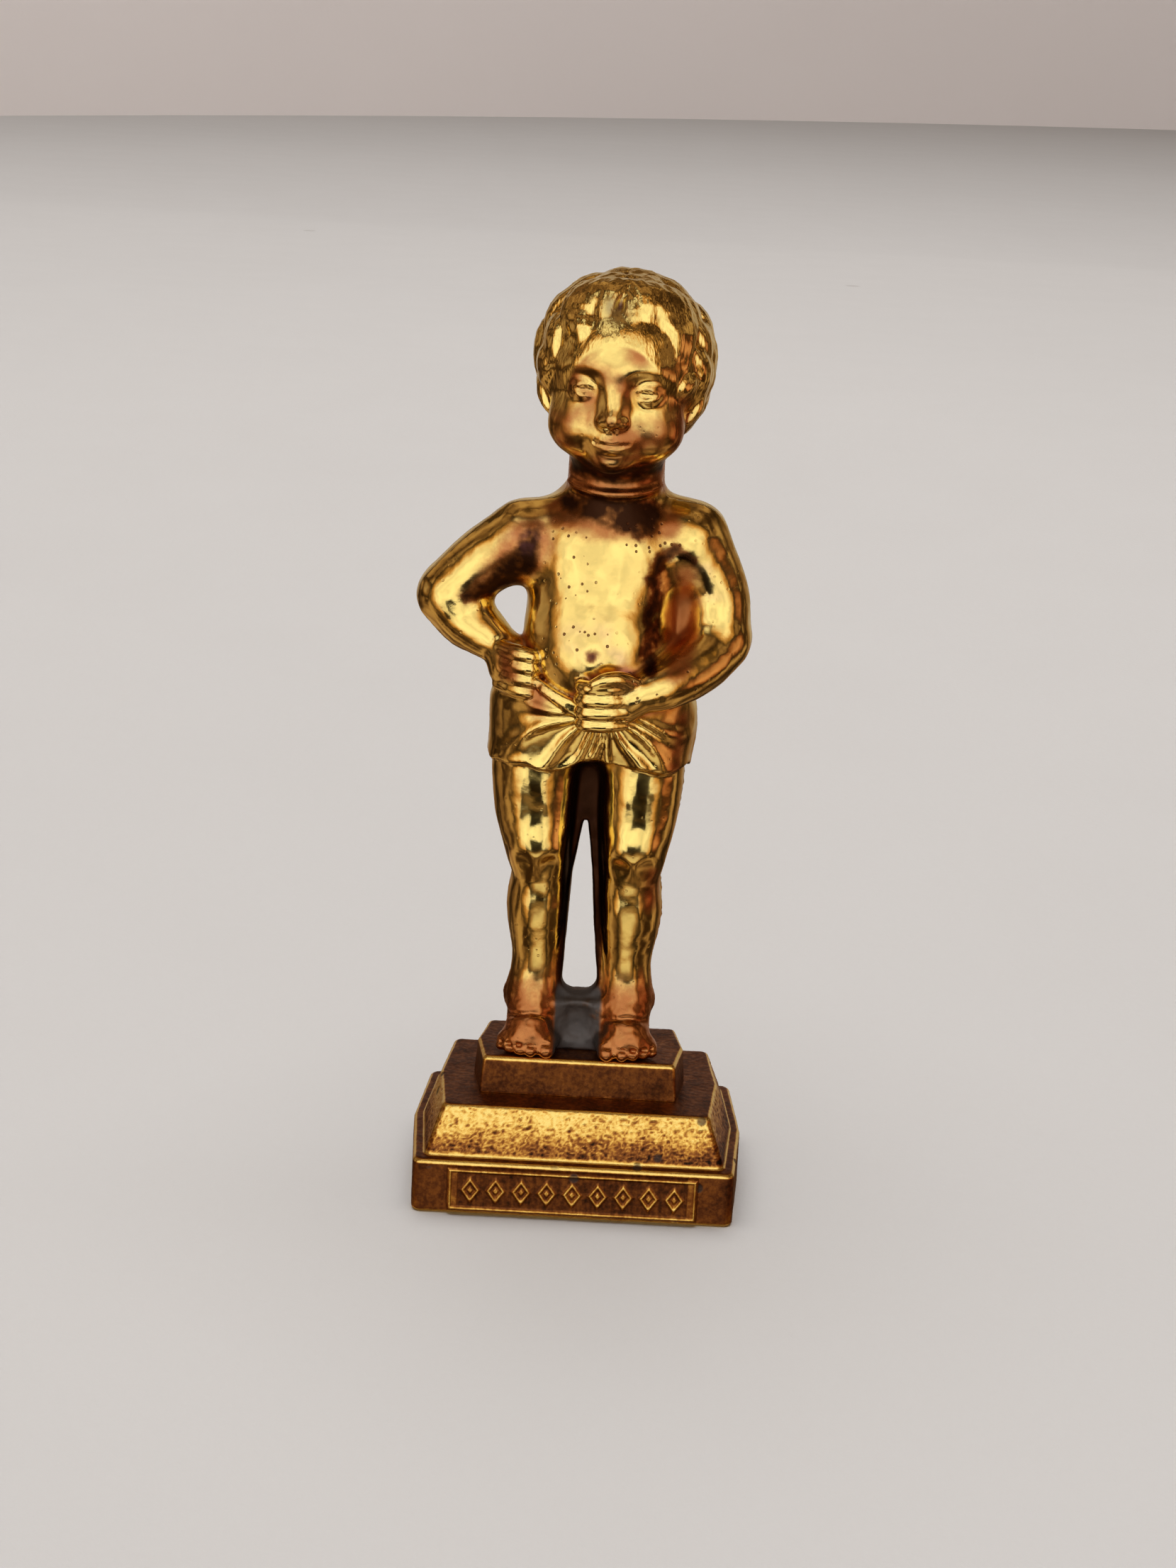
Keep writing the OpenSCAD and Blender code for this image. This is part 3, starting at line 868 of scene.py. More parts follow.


# Coppery patches, partly where the plating is thin and partly painted shade and painted reflection: round the
# neck, beside the chest, under the left arm, by the hand on the hip, on the cheeks, the right hip and the
# right shin.
COPPER_AND_SHADE_PATCHES = (                         # paths of (x, z, half-width)
    ((-4.0, 52.0, 1.8), (0.4, 52.0, 2.4), (5.4, 51.4, 1.6)),
    ((7.4, 47.0, 1.2), (7.6, 43.0, 1.6), (7.2, 39.0, 1.4)),
    ((-12.0, 43.8, 1.0), (-8.8, 45.8, 2.2), (-6.6, 49.0, 2.4)),
    ((-5.4, 36.0, 1.0), (-5.2, 34.2, 1.0)),
    ((-8.2, 39.2, 1.0), (-8.0, 37.4, 1.0)),
    ((6.2, 62.5, 0.9), (6.0, 58.6, 1.1)),
    ((-4.7, 61.0, 0.5), (-4.3, 58.8, 0.7)),
    ((7.9, 33.5, 0.7), (7.6, 29.0, 0.8)),
    ((5.9, 18.5, 0.9), (5.9, 15.0, 0.9)),
    ((-0.8, 57.6, 0.8), (2.6, 57.8, 0.8)),
)
# Painted shade and painted dark reflections, near black: along the left arm, under the chin, down the right
# of the chest, between the thighs at the hem and in the navel.
SHADE_AND_DARK_REFLECTION_PATCHES = (
    ((-12.2, 43.5, 0.5), (-10.2, 44.4, 0.9), (-8.6, 45.9, 1.3), (-7.2, 47.5, 1.3), (-6.4, 49.6, 0.8)),
    ((-3.5, 52.9, 0.7), (0.0, 52.4, 1.2), (3.2, 51.7, 1.7)),
    ((-2.6, 56.4, 0.9), (0.9, 55.8, 1.1), (4.4, 56.4, 0.9)),
    ((8.0, 48.2, 0.3), (6.4, 48.9, 0.5), (5.1, 48.2, 0.6), (4.5, 46.6, 0.65), (5.0, 44.9, 0.45),
     (4.5, 43.3, 0.65), (4.9, 41.6, 0.5), (4.3, 40.0, 0.6), (4.8, 38.8, 0.45)),
    ((-0.9, 28.2, 0.9), (0.1, 28.2, 0.9)),
    ((-0.7, 39.8, 0.25), (-0.5, 39.8, 0.25)),
)
PITTED = (
    ((-3.0, 48.5, 1.6), (-2.6, 44.0, 2.0), (-1.5, 39.0, 2.6)),
    ((-1.0, 50.0, 1.0), (6.0, 50.0, 1.2)),
    ((4.0, 37.5, 1.0), (8.0, 37.8, 1.2)),
)


def copper_and_shade_share(points):
    """Coppery tone: on the feet and armpits, where the plating is thin and the metal under it shows; under
    the chin, round the neck and on the face, painted shade and painted reflection.
    """
    x, y, z = points.T
    feet = 0.85 * (1 - unit_step(z, 4, 11))
    # Painted shade under the chin: a coppery band round the neck, strongest in front.
    neck = 0.85 * band(z, 53.5, 57.5, 0.8) * unit_step(7 - np.abs(x - 0.8), 0, 1.5)
    neck = neck * (0.4 + 0.6 * unit_step(-y, -3, 1))
    cloudy = np.clip(0.6 + 0.7 * noise_at(points, 0.5, 51), 0, 1)
    # Painted shade and painted reflection on the face: a cloudy coppery darkening of all but the hair.
    face = 0.8 * (1 - hair_share(points)) * band(z, 57.5, 70, 1.5) * cloudy
    return np.maximum.reduce([feet, neck, face, 0.8 * front_patch(points, COPPER_AND_SHADE_PATCHES, 1.1)])


def shade_and_dark_reflection_share(points):
    """Painted shade and painted dark reflections, nearly black: between the legs and in the listed patches.
    """
    x, y, z = points.T
    # Painted shade between the legs, on their inner sides.
    legs = unit_step(2.5 - np.abs(x + 0.5), 0, 0.9) * unit_step(y, -3.2, -1.8) * band(z, 4.5, 28.5, 1.5)
    patchy = 0.55 * noise_at(points, 0.9, 41) + 0.35 * noise_at(points, 2.2, 42)
    return np.maximum(legs, np.clip(front_patch(points, SHADE_AND_DARK_REFLECTION_PATCHES, 0.85) * (0.92 + patchy), 0, 1))


def pit_share(points):
    """Where the plating is most pitted: the left of the chest and the belly."""
    return 0.22 + 0.78 * front_patch(points, PITTED, 1.2)


def bare_share(points):
    """Where there is no plating at all: between the feet, and one spot in the hair."""
    x, y, z = points.T
    feet = unit_step(2.4 - np.abs(x + 0.4), 0, 0.5) * unit_step(-y, -0.6, 0.2) * (1 - unit_step(z, 5.2, 6.6))
    return np.maximum(feet, 0.9 * near(points, in_head((-0.6, -6.2, 71.0)), (1.1, 1.6, 1.0)))


# ---- meshes ----------------------------------------------------------------------------------

def close_at_seam(obj, side):
    """Cuts a mesh at the seam plane, keeps the half on one side, and closes it with a flat face."""
    outward = (0, -side, 0)
    with editing(obj.data) as bm:
        parts = bm.verts[:] + bm.edges[:] + bm.faces[:]
        bmesh.ops.bisect_plane(bm, geom=parts, dist=1e-8, plane_co=(0, 0, 0), plane_no=outward,
                               clear_outer=True)
        rim = [e for e in bm.edges if e.is_boundary]
        flat = bmesh.ops.triangle_fill(bm, use_beauty=False, use_dissolve=False, edges=rim, normal=outward)
        for face in flat["geom"]:
            if isinstance(face, bmesh.types.BMFace):
                face.smooth = False
        drop_crumbs(bm)
        bmesh.ops.recalc_face_normals(bm, faces=bm.faces[:])


def drop_crumbs(bm):
    """Deletes every part of a mesh but the largest."""
    parts, unseen = [], set(bm.faces)
    while unseen:
        part = [unseen.pop()]
        for face in part:                 # part grows as its faces' neighbours are found
            for edge in face.edges:
                if len(edge.link_faces) == 2:
                    fresh = [other for other in edge.link_faces if other in unseen]
                    unseen.difference_update(fresh)
                    part += fresh
        parts.append(part)
    largest = max(parts, key=len)
    crumbs = [face for part in parts if part is not largest for face in part]
    bmesh.ops.delete(bm, geom=crumbs, context="FACES")


def build_figure():
    """The sculpt as two closed half-shells, each with its tone values stored on its points."""
    clay = sculpt_figure()
    outside = Clay(clay.axes)
    outside.field = clay.field.copy()
    carve_inside(clay)
    clay.untangle()
    points, quads = clay.surface()
    points = clay.settle(points, quads, 3)
    tones = {"hollow": outside.crowding(points, 2.4), "crease": outside.crowding(points, 0.7),
             "copper_and_shade": copper_and_shade_share(points), "shade_and_dark_reflection": shade_and_dark_reflection_share(points), "bare": bare_share(points),
             "pits": pit_share(points), "hair": hair_share(points)}
    points = cast_relief(points, quads)
    points[:, 2] = np.maximum(points[:, 2], 0)
    halves = []
    for side, name in ((-1, "figure_front_cast"), (1, "figure_back_cast")):
        obj = new_mesh(name, to_frame(points), quads)
        for tone, values in tones.items():
            store(obj, tone, values)
        close_at_seam(obj, side)
        halves.append(obj)
    return halves


# ---- plinth, block and panel -----------------------------------------------------------------

PLINTH_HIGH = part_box("plinth")[1]
BLOCK_LOW, BLOCK_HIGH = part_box("top_block")
PANEL_LOW, PANEL_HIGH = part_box("name_panel")
FELT_LOW, FELT_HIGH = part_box("base_felt")
WASHER_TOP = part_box("tie_washer")[1].z

DRAFT = 0.8 * MM                          # how far the plinth's sides swell at mid-depth
SLAB_HALF_W = PLINTH_HIGH.x - DRAFT
SLAB_HALF_D = PLINTH_HIGH.y
SLAB_H = 5.3 * MM
LEDGE = 1.0 * MM
SLOPE_RUN = 1.6 * MM
PARTING_R = 0.6 * MM                      # rounding of the ridge at the parting plane


def corner_arc(point, before, after, radius, steps):
    """A corner of an outline, rounded to radius."""
    to_before, to_after = (before - point).normalized(), (after - point).normalized()
    half = math.acos(max(-1, min(1, to_before.dot(to_after)))) / 2
    centre = point + (to_before + to_after).normalized() * (radius / math.sin(half))
    start = point + to_before * (radius / math.tan(half)) - centre
    end = point + to_after * (radius / math.tan(half)) - centre
    sweep = start.angle_signed(end)
    return [centre + Vector((start.x * math.cos(a) + start.y * math.sin(a),
                             start.y * math.cos(a) - start.x * math.sin(a)))
            for a in (sweep * i / steps for i in range(steps + 1))]


SIDE_STEPS = (210, 68, 68, 210, 68, 68)   # points along each straight side of the outline
CORNER_STEPS = 8


def outline(inset, corner_r):
    """The plinth's outline in plan: a rectangle whose sides swell at mid-depth, with round corners."""
    w, d = SLAB_HALF_W - inset, SLAB_HALF_D - inset
    corners = [Vector(c) for c in ((-w, -d), (w, -d), (w + DRAFT, 0), (w, d), (-w, d), (-w - DRAFT, 0))]
    radii = (corner_r, corner_r, PARTING_R, corner_r, corner_r, PARTING_R)
    arcs = [corner_arc(c, corners[i - 1], corners[(i + 1) % 6], r, CORNER_STEPS)
            for i, (c, r) in enumerate(zip(corners, radii))]
    points = []
    for i, (arc, steps) in enumerate(zip(arcs, SIDE_STEPS)):
        points += arc
        start, end = arc[-1], arcs[(i + 1) % 6][0]
        points += [start.lerp(end, t / steps) for t in range(1, steps)]
    return np.array(points)


def circle_like(plan, radius):
    """A circle with one point in the direction of each point of plan."""
    return plan / np.linalg.norm(plan, axis=1, keepdims=True) * radius


def loft(name, rings, closed):
    """A surface through rings of (plan points, height); closed joins the last ring to the first."""
    count = len(rings[0][0])
    points = np.concatenate([np.column_stack([plan, np.full(count, z)]) for plan, z in rings])
    faces = []
    around = np.arange(count)
    for i in range(len(rings) - (0 if closed else 1)):
        low, high = i * count, (i + 1) % len(rings) * count
        faces.append(np.column_stack([low + around, low + (around + 1) % count,
                                      high + (around + 1) % count, high + around]))
    return new_mesh(name, points, np.concatenate(faces))


def rounded(points, steps=5):
    """A profile of (inset, height, rounding radius) points with its corners turned into arcs."""
    out = []
    for i, (inset, z, r) in enumerate(points):
        here = Vector((inset, z))
        if r == 0 or i in (0, len(points) - 1):
            out.append(here)
            continue
        before, after = Vector(points[i - 1][:2]), Vector(points[i + 1][:2])
        out += corner_arc(here, before, after, r, steps)
    return out


def spaced(profile, fine, coarse):
    """More points along a profile: fine steps where it slopes, coarse ones where it is level or upright."""
    out = [profile[0]]
    for a, b in zip(profile, profile[1:]):
        way = (b - a).normalized()
        step = fine if min(abs(way.x), abs(way.y)) > 0.2 else coarse
        parts = max(1, math.ceil((b - a).length / step))
        out += [a.lerp(b, t / parts) for t in range(1, parts + 1)]
    return out


def corner_radius(inset):
    """The outline's corners are tighter higher up."""
    return max(0.9 * MM - 0.1 * inset, 0.35 * MM)


def mesh_points(obj):
    """A mesh's points and their normals."""
    flat = np.empty(len(obj.data.vertices) * 3, np.float32)
    obj.data.vertices.foreach_get("co", flat)
    normals = np.empty_like(flat)
    obj.data.vertex_normals.foreach_get("vector", normals)
    return flat.reshape(-1, 3).astype(float), normals.reshape(-1, 3).astype(float)


def set_points(obj, points):
    obj.data.vertices.foreach_set("co", points.astype(np.float32).ravel())
    obj.data.update()


def store(obj, name, values):
    """Keeps one value per point, for the materials."""
    obj.data.attributes.new(name, "FLOAT", "POINT").data.foreach_set("value", values)


def leather(mm):
    """Wrinkles, as a casting takes from a textured mould, from -1 to about 1."""
    warped = mm + 0.35 * np.stack([noise_at(mm, 1.1, 8), noise_at(mm, 1.1, 9), 0 * mm[:, 0]], 1)
    coarse = 1 - 2.6 * np.abs(noise_at(warped * [1, 1, 1.35], 2.0, 5))
    fine = 1 - 2.6 * np.abs(noise_at(warped * [1, 1, 1.2], 3.9, 6))
    return 0.65 * coarse + 0.45 * fine - 0.25


def drag_marks(mm):
    """Fine upright streaks, left as a casting was drawn from its mould."""
    return noise_at(mm * [1, 1, 0.1], 3.6, 7) + 0.6 * noise_at(mm * [1, 1, 0.16], 8.0, 3)


def weather_and_shade_stand(obj, tiers):
    """Grain, streaks and tarnishing on the plinth or the block, with painted light: upright faces and level
    tops are stored dark as painted dark reflection, and the slope lighter towards its top as a painted
    highlight; tiers are its outer edges' heights.
    """
    points, normals = mesh_points(obj)
    mm = points / MM
    x, _, z = mm.T
    up = normals[:, 2]
    foot, head = SLAB_H / MM, PLINTH_HIGH.z / MM    # of the sloping tier
    upright = 1 - unit_step(np.abs(up), 0.12, 0.3)
    slope = band(up, 0.18, 0.6, 0.06) * band(z, foot + 0.3, head - 0.1, 0.2)
    flat = unit_step(up, 0.8, 0.95)
    grain, streaks = leather(mm), drag_marks(mm)
    ripple = noise_at(mm, 0.5, 4)
    lift = slope * (0.04 * grain) + upright * (0.016 * streaks + 0.012 * noise_at(mm, 5.5, 2))
    lift = lift + flat * (0.02 * noise_at(mm, 2.4, 12)) + 0.03 * ripple
    facing_down = 1 - unit_step(np.abs(normals[:, 1]) + np.abs(normals[:, 0]) + up, -0.8, -0.2)
    lift = lift * (1 - facing_down)

    height = unit_step(z, foot + 0.1, head - 0.5)
    # Painted dark reflection: upright faces and level tops are stored dark by which way they face.
    tarnish_and_shade = upright * (0.73 + 0.05 * streaks) + flat * 0.74
    worn_off = 0.5 + 0.5 * noise_at(mm, 0.22, 31)
    # Painted highlight: the slope is lighter towards its top and darker towards its foot.
    tarnish_and_shade = tarnish_and_shade + slope * (0.74 - 0.56 * height - 0.44 * grain + 0.3 * worn_off * unit_step(x, -2, 13))
    corners = 1 - unit_step(np.maximum(np.abs(normals[:, 0]), np.abs(normals[:, 1])), 0.9, 0.985)
    rubbed = unit_step(noise_at(mm, 0.6, 33), -0.35, 0.3)
    tarnish_and_shade = tarnish_and_shade - 0.25 * corners * upright * rubbed
    wear = np.zeros(len(mm))
    for edge in tiers:
        wear = np.maximum(wear, np.exp(-((z - edge) / 0.2) ** 2) * band(up, 0.12, 0.93, 0.05))
    tarnish_and_shade = tarnish_and_shade * (1 - (0.45 + 0.45 * rubbed) * wear) + 0.12 * ripple
    set_points(obj, points + normals * (lift * MM)[:, None])
    store(obj, "tarnish_and_shade", np.clip(tarnish_and_shade, 0, 1))


BORE_R, COUNTERBORE_R = 1.7 * MM, 3.3 * MM
BOSS_HALF_D = 6.2 * MM                    # the boss round the screw, from its middle to its front
PLINTH_WALL = 2.2 * MM
TOP_REACH = 4 * MM                        # how far the level top runs in, out of sight under the block


def build_plinth():
    """One closed surface: up the outside, in over the top, down the bore and round the hollow."""
    top, slope_head = PLINTH_HIGH.z, LEDGE + SLOPE_RUN
    under, seat = FELT_HIGH.z, WASHER_TOP
    margin = PLINTH_HIGH.x - FELT_HIGH.x
    outer = rounded([(margin, under, 0), (margin, 0, 0.25 * MM), (0, 0, 0.35 * MM),
                     (0.05 * MM, SLAB_H, 0.45 * MM), (LEDGE, SLAB_H, 0.3 * MM),
                     (slope_head, top, 0.45 * MM), (slope_head + TOP_REACH, top, 0)])
    rings = [(outline(i, corner_radius(i)), z) for i, z in spaced(outer, 0.12 * MM, 0.24 * MM)]
    plan = rings[0][0]
    boss = outline(SLAB_HALF_D - BOSS_HALF_D, 0.5 * MM)
    rings += [
        (circle_like(plan, BORE_R), top),
        (circle_like(plan, BORE_R), seat),
        (circle_like(plan, COUNTERBORE_R), seat),
        (circle_like(plan, COUNTERBORE_R), under),
        (boss, under),
        (boss, top - PLINTH_WALL),
        (outline(slope_head + PLINTH_WALL, 0.4 * MM), top - PLINTH_WALL),
        (outline(LEDGE + PLINTH_WALL, 0.4 * MM), under),
    ]
    obj = loft("plinth_cast", rings, True)
    weather_and_shade_stand(obj, (0.1, SLAB_H / MM, top / MM))
    return obj


def cap_holes(obj):
    """Closes a mesh's open ends with flat faces."""
    with editing(obj.data) as bm:
        bmesh.ops.holes_fill(bm, edges=[e for e in bm.edges if e.is_boundary], sides=0)
        bmesh.ops.recalc_face_normals(bm, faces=bm.faces[:])


BLOCK_LEAN = 0.3 * MM


def build_block():
    lean, low, high = BLOCK_LEAN, BLOCK_LOW.z, BLOCK_HIGH.z
    inset = SLAB_HALF_W - (BLOCK_HIGH.x - DRAFT)
    profile = rounded([(inset + 4 * MM, low, 0), (inset, low, 0.1 * MM),
                       (inset + lean, high, 0.45 * MM), (inset + lean + 4.4 * MM, high, 0)])
    rings = [(outline(i, 0.4 * MM), z) for i, z in spaced(profile, 0.15 * MM, 0.2 * MM)]
    obj = loft("top_block_cast", rings, False)
    weather_and_shade_stand(obj, (high / MM,))
    cap_holes(obj)
    return obj


LOZENGES = 9                              # sizes of the panel's pattern are in millimetres
LOZENGE_W, LOZENGE_H = 1.8, 2.6
RELIEF = 0.25                             # how far the pattern stands out
PANEL_STEP = 0.085                        # grid spacing of the panel's face


def panel_relief(x, z, half_w, half_h):
    """How far the panel's face stands out: a thin frame, and a row of plain lozenges in it."""
    to_edge = np.minimum(half_w - np.abs(x), half_h - np.abs(z))
    frame_line = np.exp(-((to_edge - 0.3) / 0.14) ** 2)
    pitch = (2 * half_w - 2) / LOZENGES
    across = (x / pitch + LOZENGES / 2) % 1 - 0.5
    inside = (np.abs(x) < pitch * LOZENGES / 2) * (1 - np.abs(across) * pitch / (LOZENGE_W / 2)
                                                   - np.abs(z) / (LOZENGE_H / 2))
    rim = np.exp(-((inside - 0.2) / 0.2) ** 2)
    middle = 0.8 * unit_step(inside, 0.62, 0.78)
    return np.maximum(frame_line, np.maximum(rim, middle)), to_edge


def build_panel():
    low, high = PANEL_LOW / MM, PANEL_HIGH / MM
    half_w, half_h, mid_z = high.x, (high.z - low.z) / 2, (high.z + low.z) / 2
    face_y = low.y + RELIEF
    columns, rows = round(2 * half_w / PANEL_STEP) + 1, round(2 * half_h / PANEL_STEP) + 1
    x, z = np.meshgrid(np.linspace(-half_w, half_w, columns), np.linspace(-half_h, half_h, rows),
                       indexing="ij")
    height, to_edge = panel_relief(x, z, half_w, half_h)
    flat = np.stack([x.ravel(), 0 * x.ravel() + face_y, z.ravel() + mid_z], 1)
    streaks = drag_marks(flat).reshape(x.shape)
    rough = noise_at(flat, 5.5, 2).reshape(x.shape)
    worn = 0.5 + 0.5 * noise_at(flat, 0.8, 14).reshape(x.shape)
    shoulder = 0.12 * (1 - unit_step(to_edge, 0, 0.14)) ** 2
    y = face_y - RELIEF * height * (0.72 + 0.28 * worn) + 0.014 * streaks + 0.01 * rough + shoulder
    front = np.stack([x, np.maximum(y, low.y), z + mid_z], -1).reshape(-1, 3)
    number = np.arange(columns * rows).reshape(columns, rows)
    faces = np.stack([number[:-1, :-1], number[1:, :-1], number[1:, 1:], number[:-1, 1:]], -1).reshape(-1, 4)
    border = np.concatenate([number[:, 0], number[-1, 1:], number[-2::-1, -1], number[0, -2:0:-1]])
    back = front[border] * [1, 0, 1] + [0, high.y, 0]
    first, count = len(front), len(border)
    ahead = np.roll(np.arange(count), -1)
    sides = np.stack([border, np.arange(count) + first, ahead + first, border[ahead]], 1)
    obj = new_mesh("name_panel_cast", np.concatenate([front, back]) * MM, np.concatenate([faces, sides]))
    # The upright face is stored dark as painted dark reflection, as the plinth's upright faces are; the
    # raised pattern is lighter.
    tarnish_and_shade = 0.8 + 0.1 * streaks - 0.75 * height * (0.6 + 0.4 * worn)
    store(obj, "tarnish_and_shade", np.concatenate([np.clip(tarnish_and_shade.ravel(), 0, 1), np.full(count, 0.8)]))
    cap_holes(obj)
    return obj


def build_felt():
    """The felt pad in the plinth's recess, with a napped face and a soft cut edge."""
    inset = PLINTH_HIGH.x - FELT_HIGH.x
    thick, middle = FELT_HIGH.z, SLAB_HALF_D - 0.4 * MM
    profile = rounded([(middle, 0, 0), (inset, 0, 0.3 * MM), (inset, thick, 0.2 * MM), (middle, thick, 0)])
    rings = [(outline(i, corner_radius(i) if i < 6 * MM else 0.1 * MM), z)
             for i, z in spaced(profile, 0.3 * MM, 0.3 * MM)]
    obj = loft("base_felt_pad", rings, False)
    cap_holes(obj)
    points, normals = mesh_points(obj)
    nap = noise_at(points / MM, 2.2, 21) + 0.7 * noise_at(points / MM, 5.0, 22)
    nap = nap * unit_step(np.abs(points[:, 1]) / MM, 0.5, 1.6)    # keeps the flat cap in the middle flat
    moved = points - normals * ((0.04 + 0.035 * np.abs(nap)) * MM)[:, None]
    set_points(obj, np.maximum(moved, [-1, -1, 0]))
    return obj


# ---- materials -------------------------------------------------------------------------------

class Look:
    """A material being made: each method adds a node and gives back its output."""

    def __init__(self, name, **shader):
        self.material = bpy.data.materials.new(name)
        self.material.use_nodes = True
        self.tree = self.material.node_tree
        self.shader = self.tree.nodes["Principled BSDF"]
        self.set(self.shader, shader)
        self.place = self.add("ShaderNodeTexCoord").outputs["Object"]

    def set(self, node, values):
        for name, value in values.items():
            socket = node.inputs[name if isinstance(name, int) else name.replace("_", " ")]
            if isinstance(value, bpy.types.NodeSocket):
                self.tree.links.new(value, socket)
            else:
                socket.default_value = value

    def add(self, kind, values=None, **settings):
        node = self.tree.nodes.new(kind)
        for name, value in settings.items():
            setattr(node, name, value)
        self.set(node, values or {})
        return node

    def shade(self, **values):
        self.set(self.shader, values)

    def stretched(self, scale):
        """Places, stretched: a bigger number makes finer detail that way."""
        return self.add("ShaderNodeMapping", {"Vector": self.place, "Scale": scale}).outputs[0]

    def noise(self, scale, detail=3, roughness=0.5, place=None):
        values = {"Vector": place or self.place, "Scale": scale, "Detail": detail, "Roughness": roughness}
        return self.add("ShaderNodeTexNoise", values).outputs["Fac"]

    def cells(self, scale, feature="F1"):
        return self.add("ShaderNodeTexVoronoi", {"Vector": self.place, "Scale": scale}, feature=feature)

    def stored(self, name):
        return self.add("ShaderNodeAttribute", attribute_name=name).outputs["Fac"]

    def math(self, operation, a, b=0.0, clamp=False):
        return self.add("ShaderNodeMath", {0: a, 1: b}, operation=operation, use_clamp=clamp).outputs[0]

    def plus(self, *parts, clamp=False):
        total = parts[0]
        for i, part in enumerate(parts[1:], 2):
            total = self.math("ADD", total, part, clamp and i == len(parts))
        return total

    def times(self, a, b, clamp=False):
        return self.math("MULTIPLY", a, b, clamp)

    def fade(self, value, low, high, to_low=0.0, to_high=1.0):
        """A soft step: to_low where value is under low, to_high where it is over high."""
        values = {"Value": value, "From Min": low, "From Max": high, "To Min": to_low, "To Max": to_high}
        return self.add("ShaderNodeMapRange", values, interpolation_type="SMOOTHSTEP").outputs[0]

    def sway(self, value, by):
        """A noise turned into an offset from -by to by."""
        return self.fade(value, 0.3, 0.7, -by, by)

    def ramp(self, value, stops):
        node = self.add("ShaderNodeValToRGB", {"Fac": value})
        ramp = node.color_ramp
        while len(ramp.elements) < len(stops):
            ramp.elements.new(1)
        for element, (place, colour) in zip(ramp.elements, stops):
            element.position = place
            element.color = (*colour, 1)
        return node.outputs["Color"]

    def mix(self, share, a, b, blend="MIX"):
        node = self.add("ShaderNodeMix", data_type="RGBA", blend_type=blend)
        colours = [(*c, 1) if isinstance(c, tuple) else c for c in (a, b)]
        self.set(node, {0: share, 6: colours[0], 7: colours[1]})
        return node.outputs[2]

    def bump(self, height, depth, below=None):
        values = {"Height": height, "Distance": depth, "Strength": 1.0}
        if below is not None:
            values["Normal"] = below
        return self.add("ShaderNodeBump", values).outputs["Normal"]


GOLD = (0.9, 0.67, 0.22)
DEEP_GOLD = (0.76, 0.45, 0.1)
COPPER = (0.58, 0.23, 0.07)
DULL_COPPER = (0.46, 0.175, 0.058)
SHADE_FRINGE_COPPER = (0.2, 0.075, 0.022)
UMBER = (0.15, 0.05, 0.02)
BLACK_BROWN = (0.034, 0.013, 0.007)
NEAR_BLACK_BROWN = (0.022, 0.012, 0.008)
BLUSH = (0.55, 0.2, 0.3)
ZINC = (0.14, 0.128, 0.13)
LEAD_GREY = (0.09, 0.07, 0.065)


def specks(look, scale, size, share):
    """Small round pits: 1 in a pit, and share is how many of the cells have one."""
    cells = look.cells(scale)
    lot = look.add("ShaderNodeSeparateColor", {0: cells.outputs["Color"]}).outputs[0]
    return look.times(look.fade(cells.outputs["Distance"], size * 0.6, size, 1.0, 0.0),
                      look.math("LESS_THAN", lot, share))


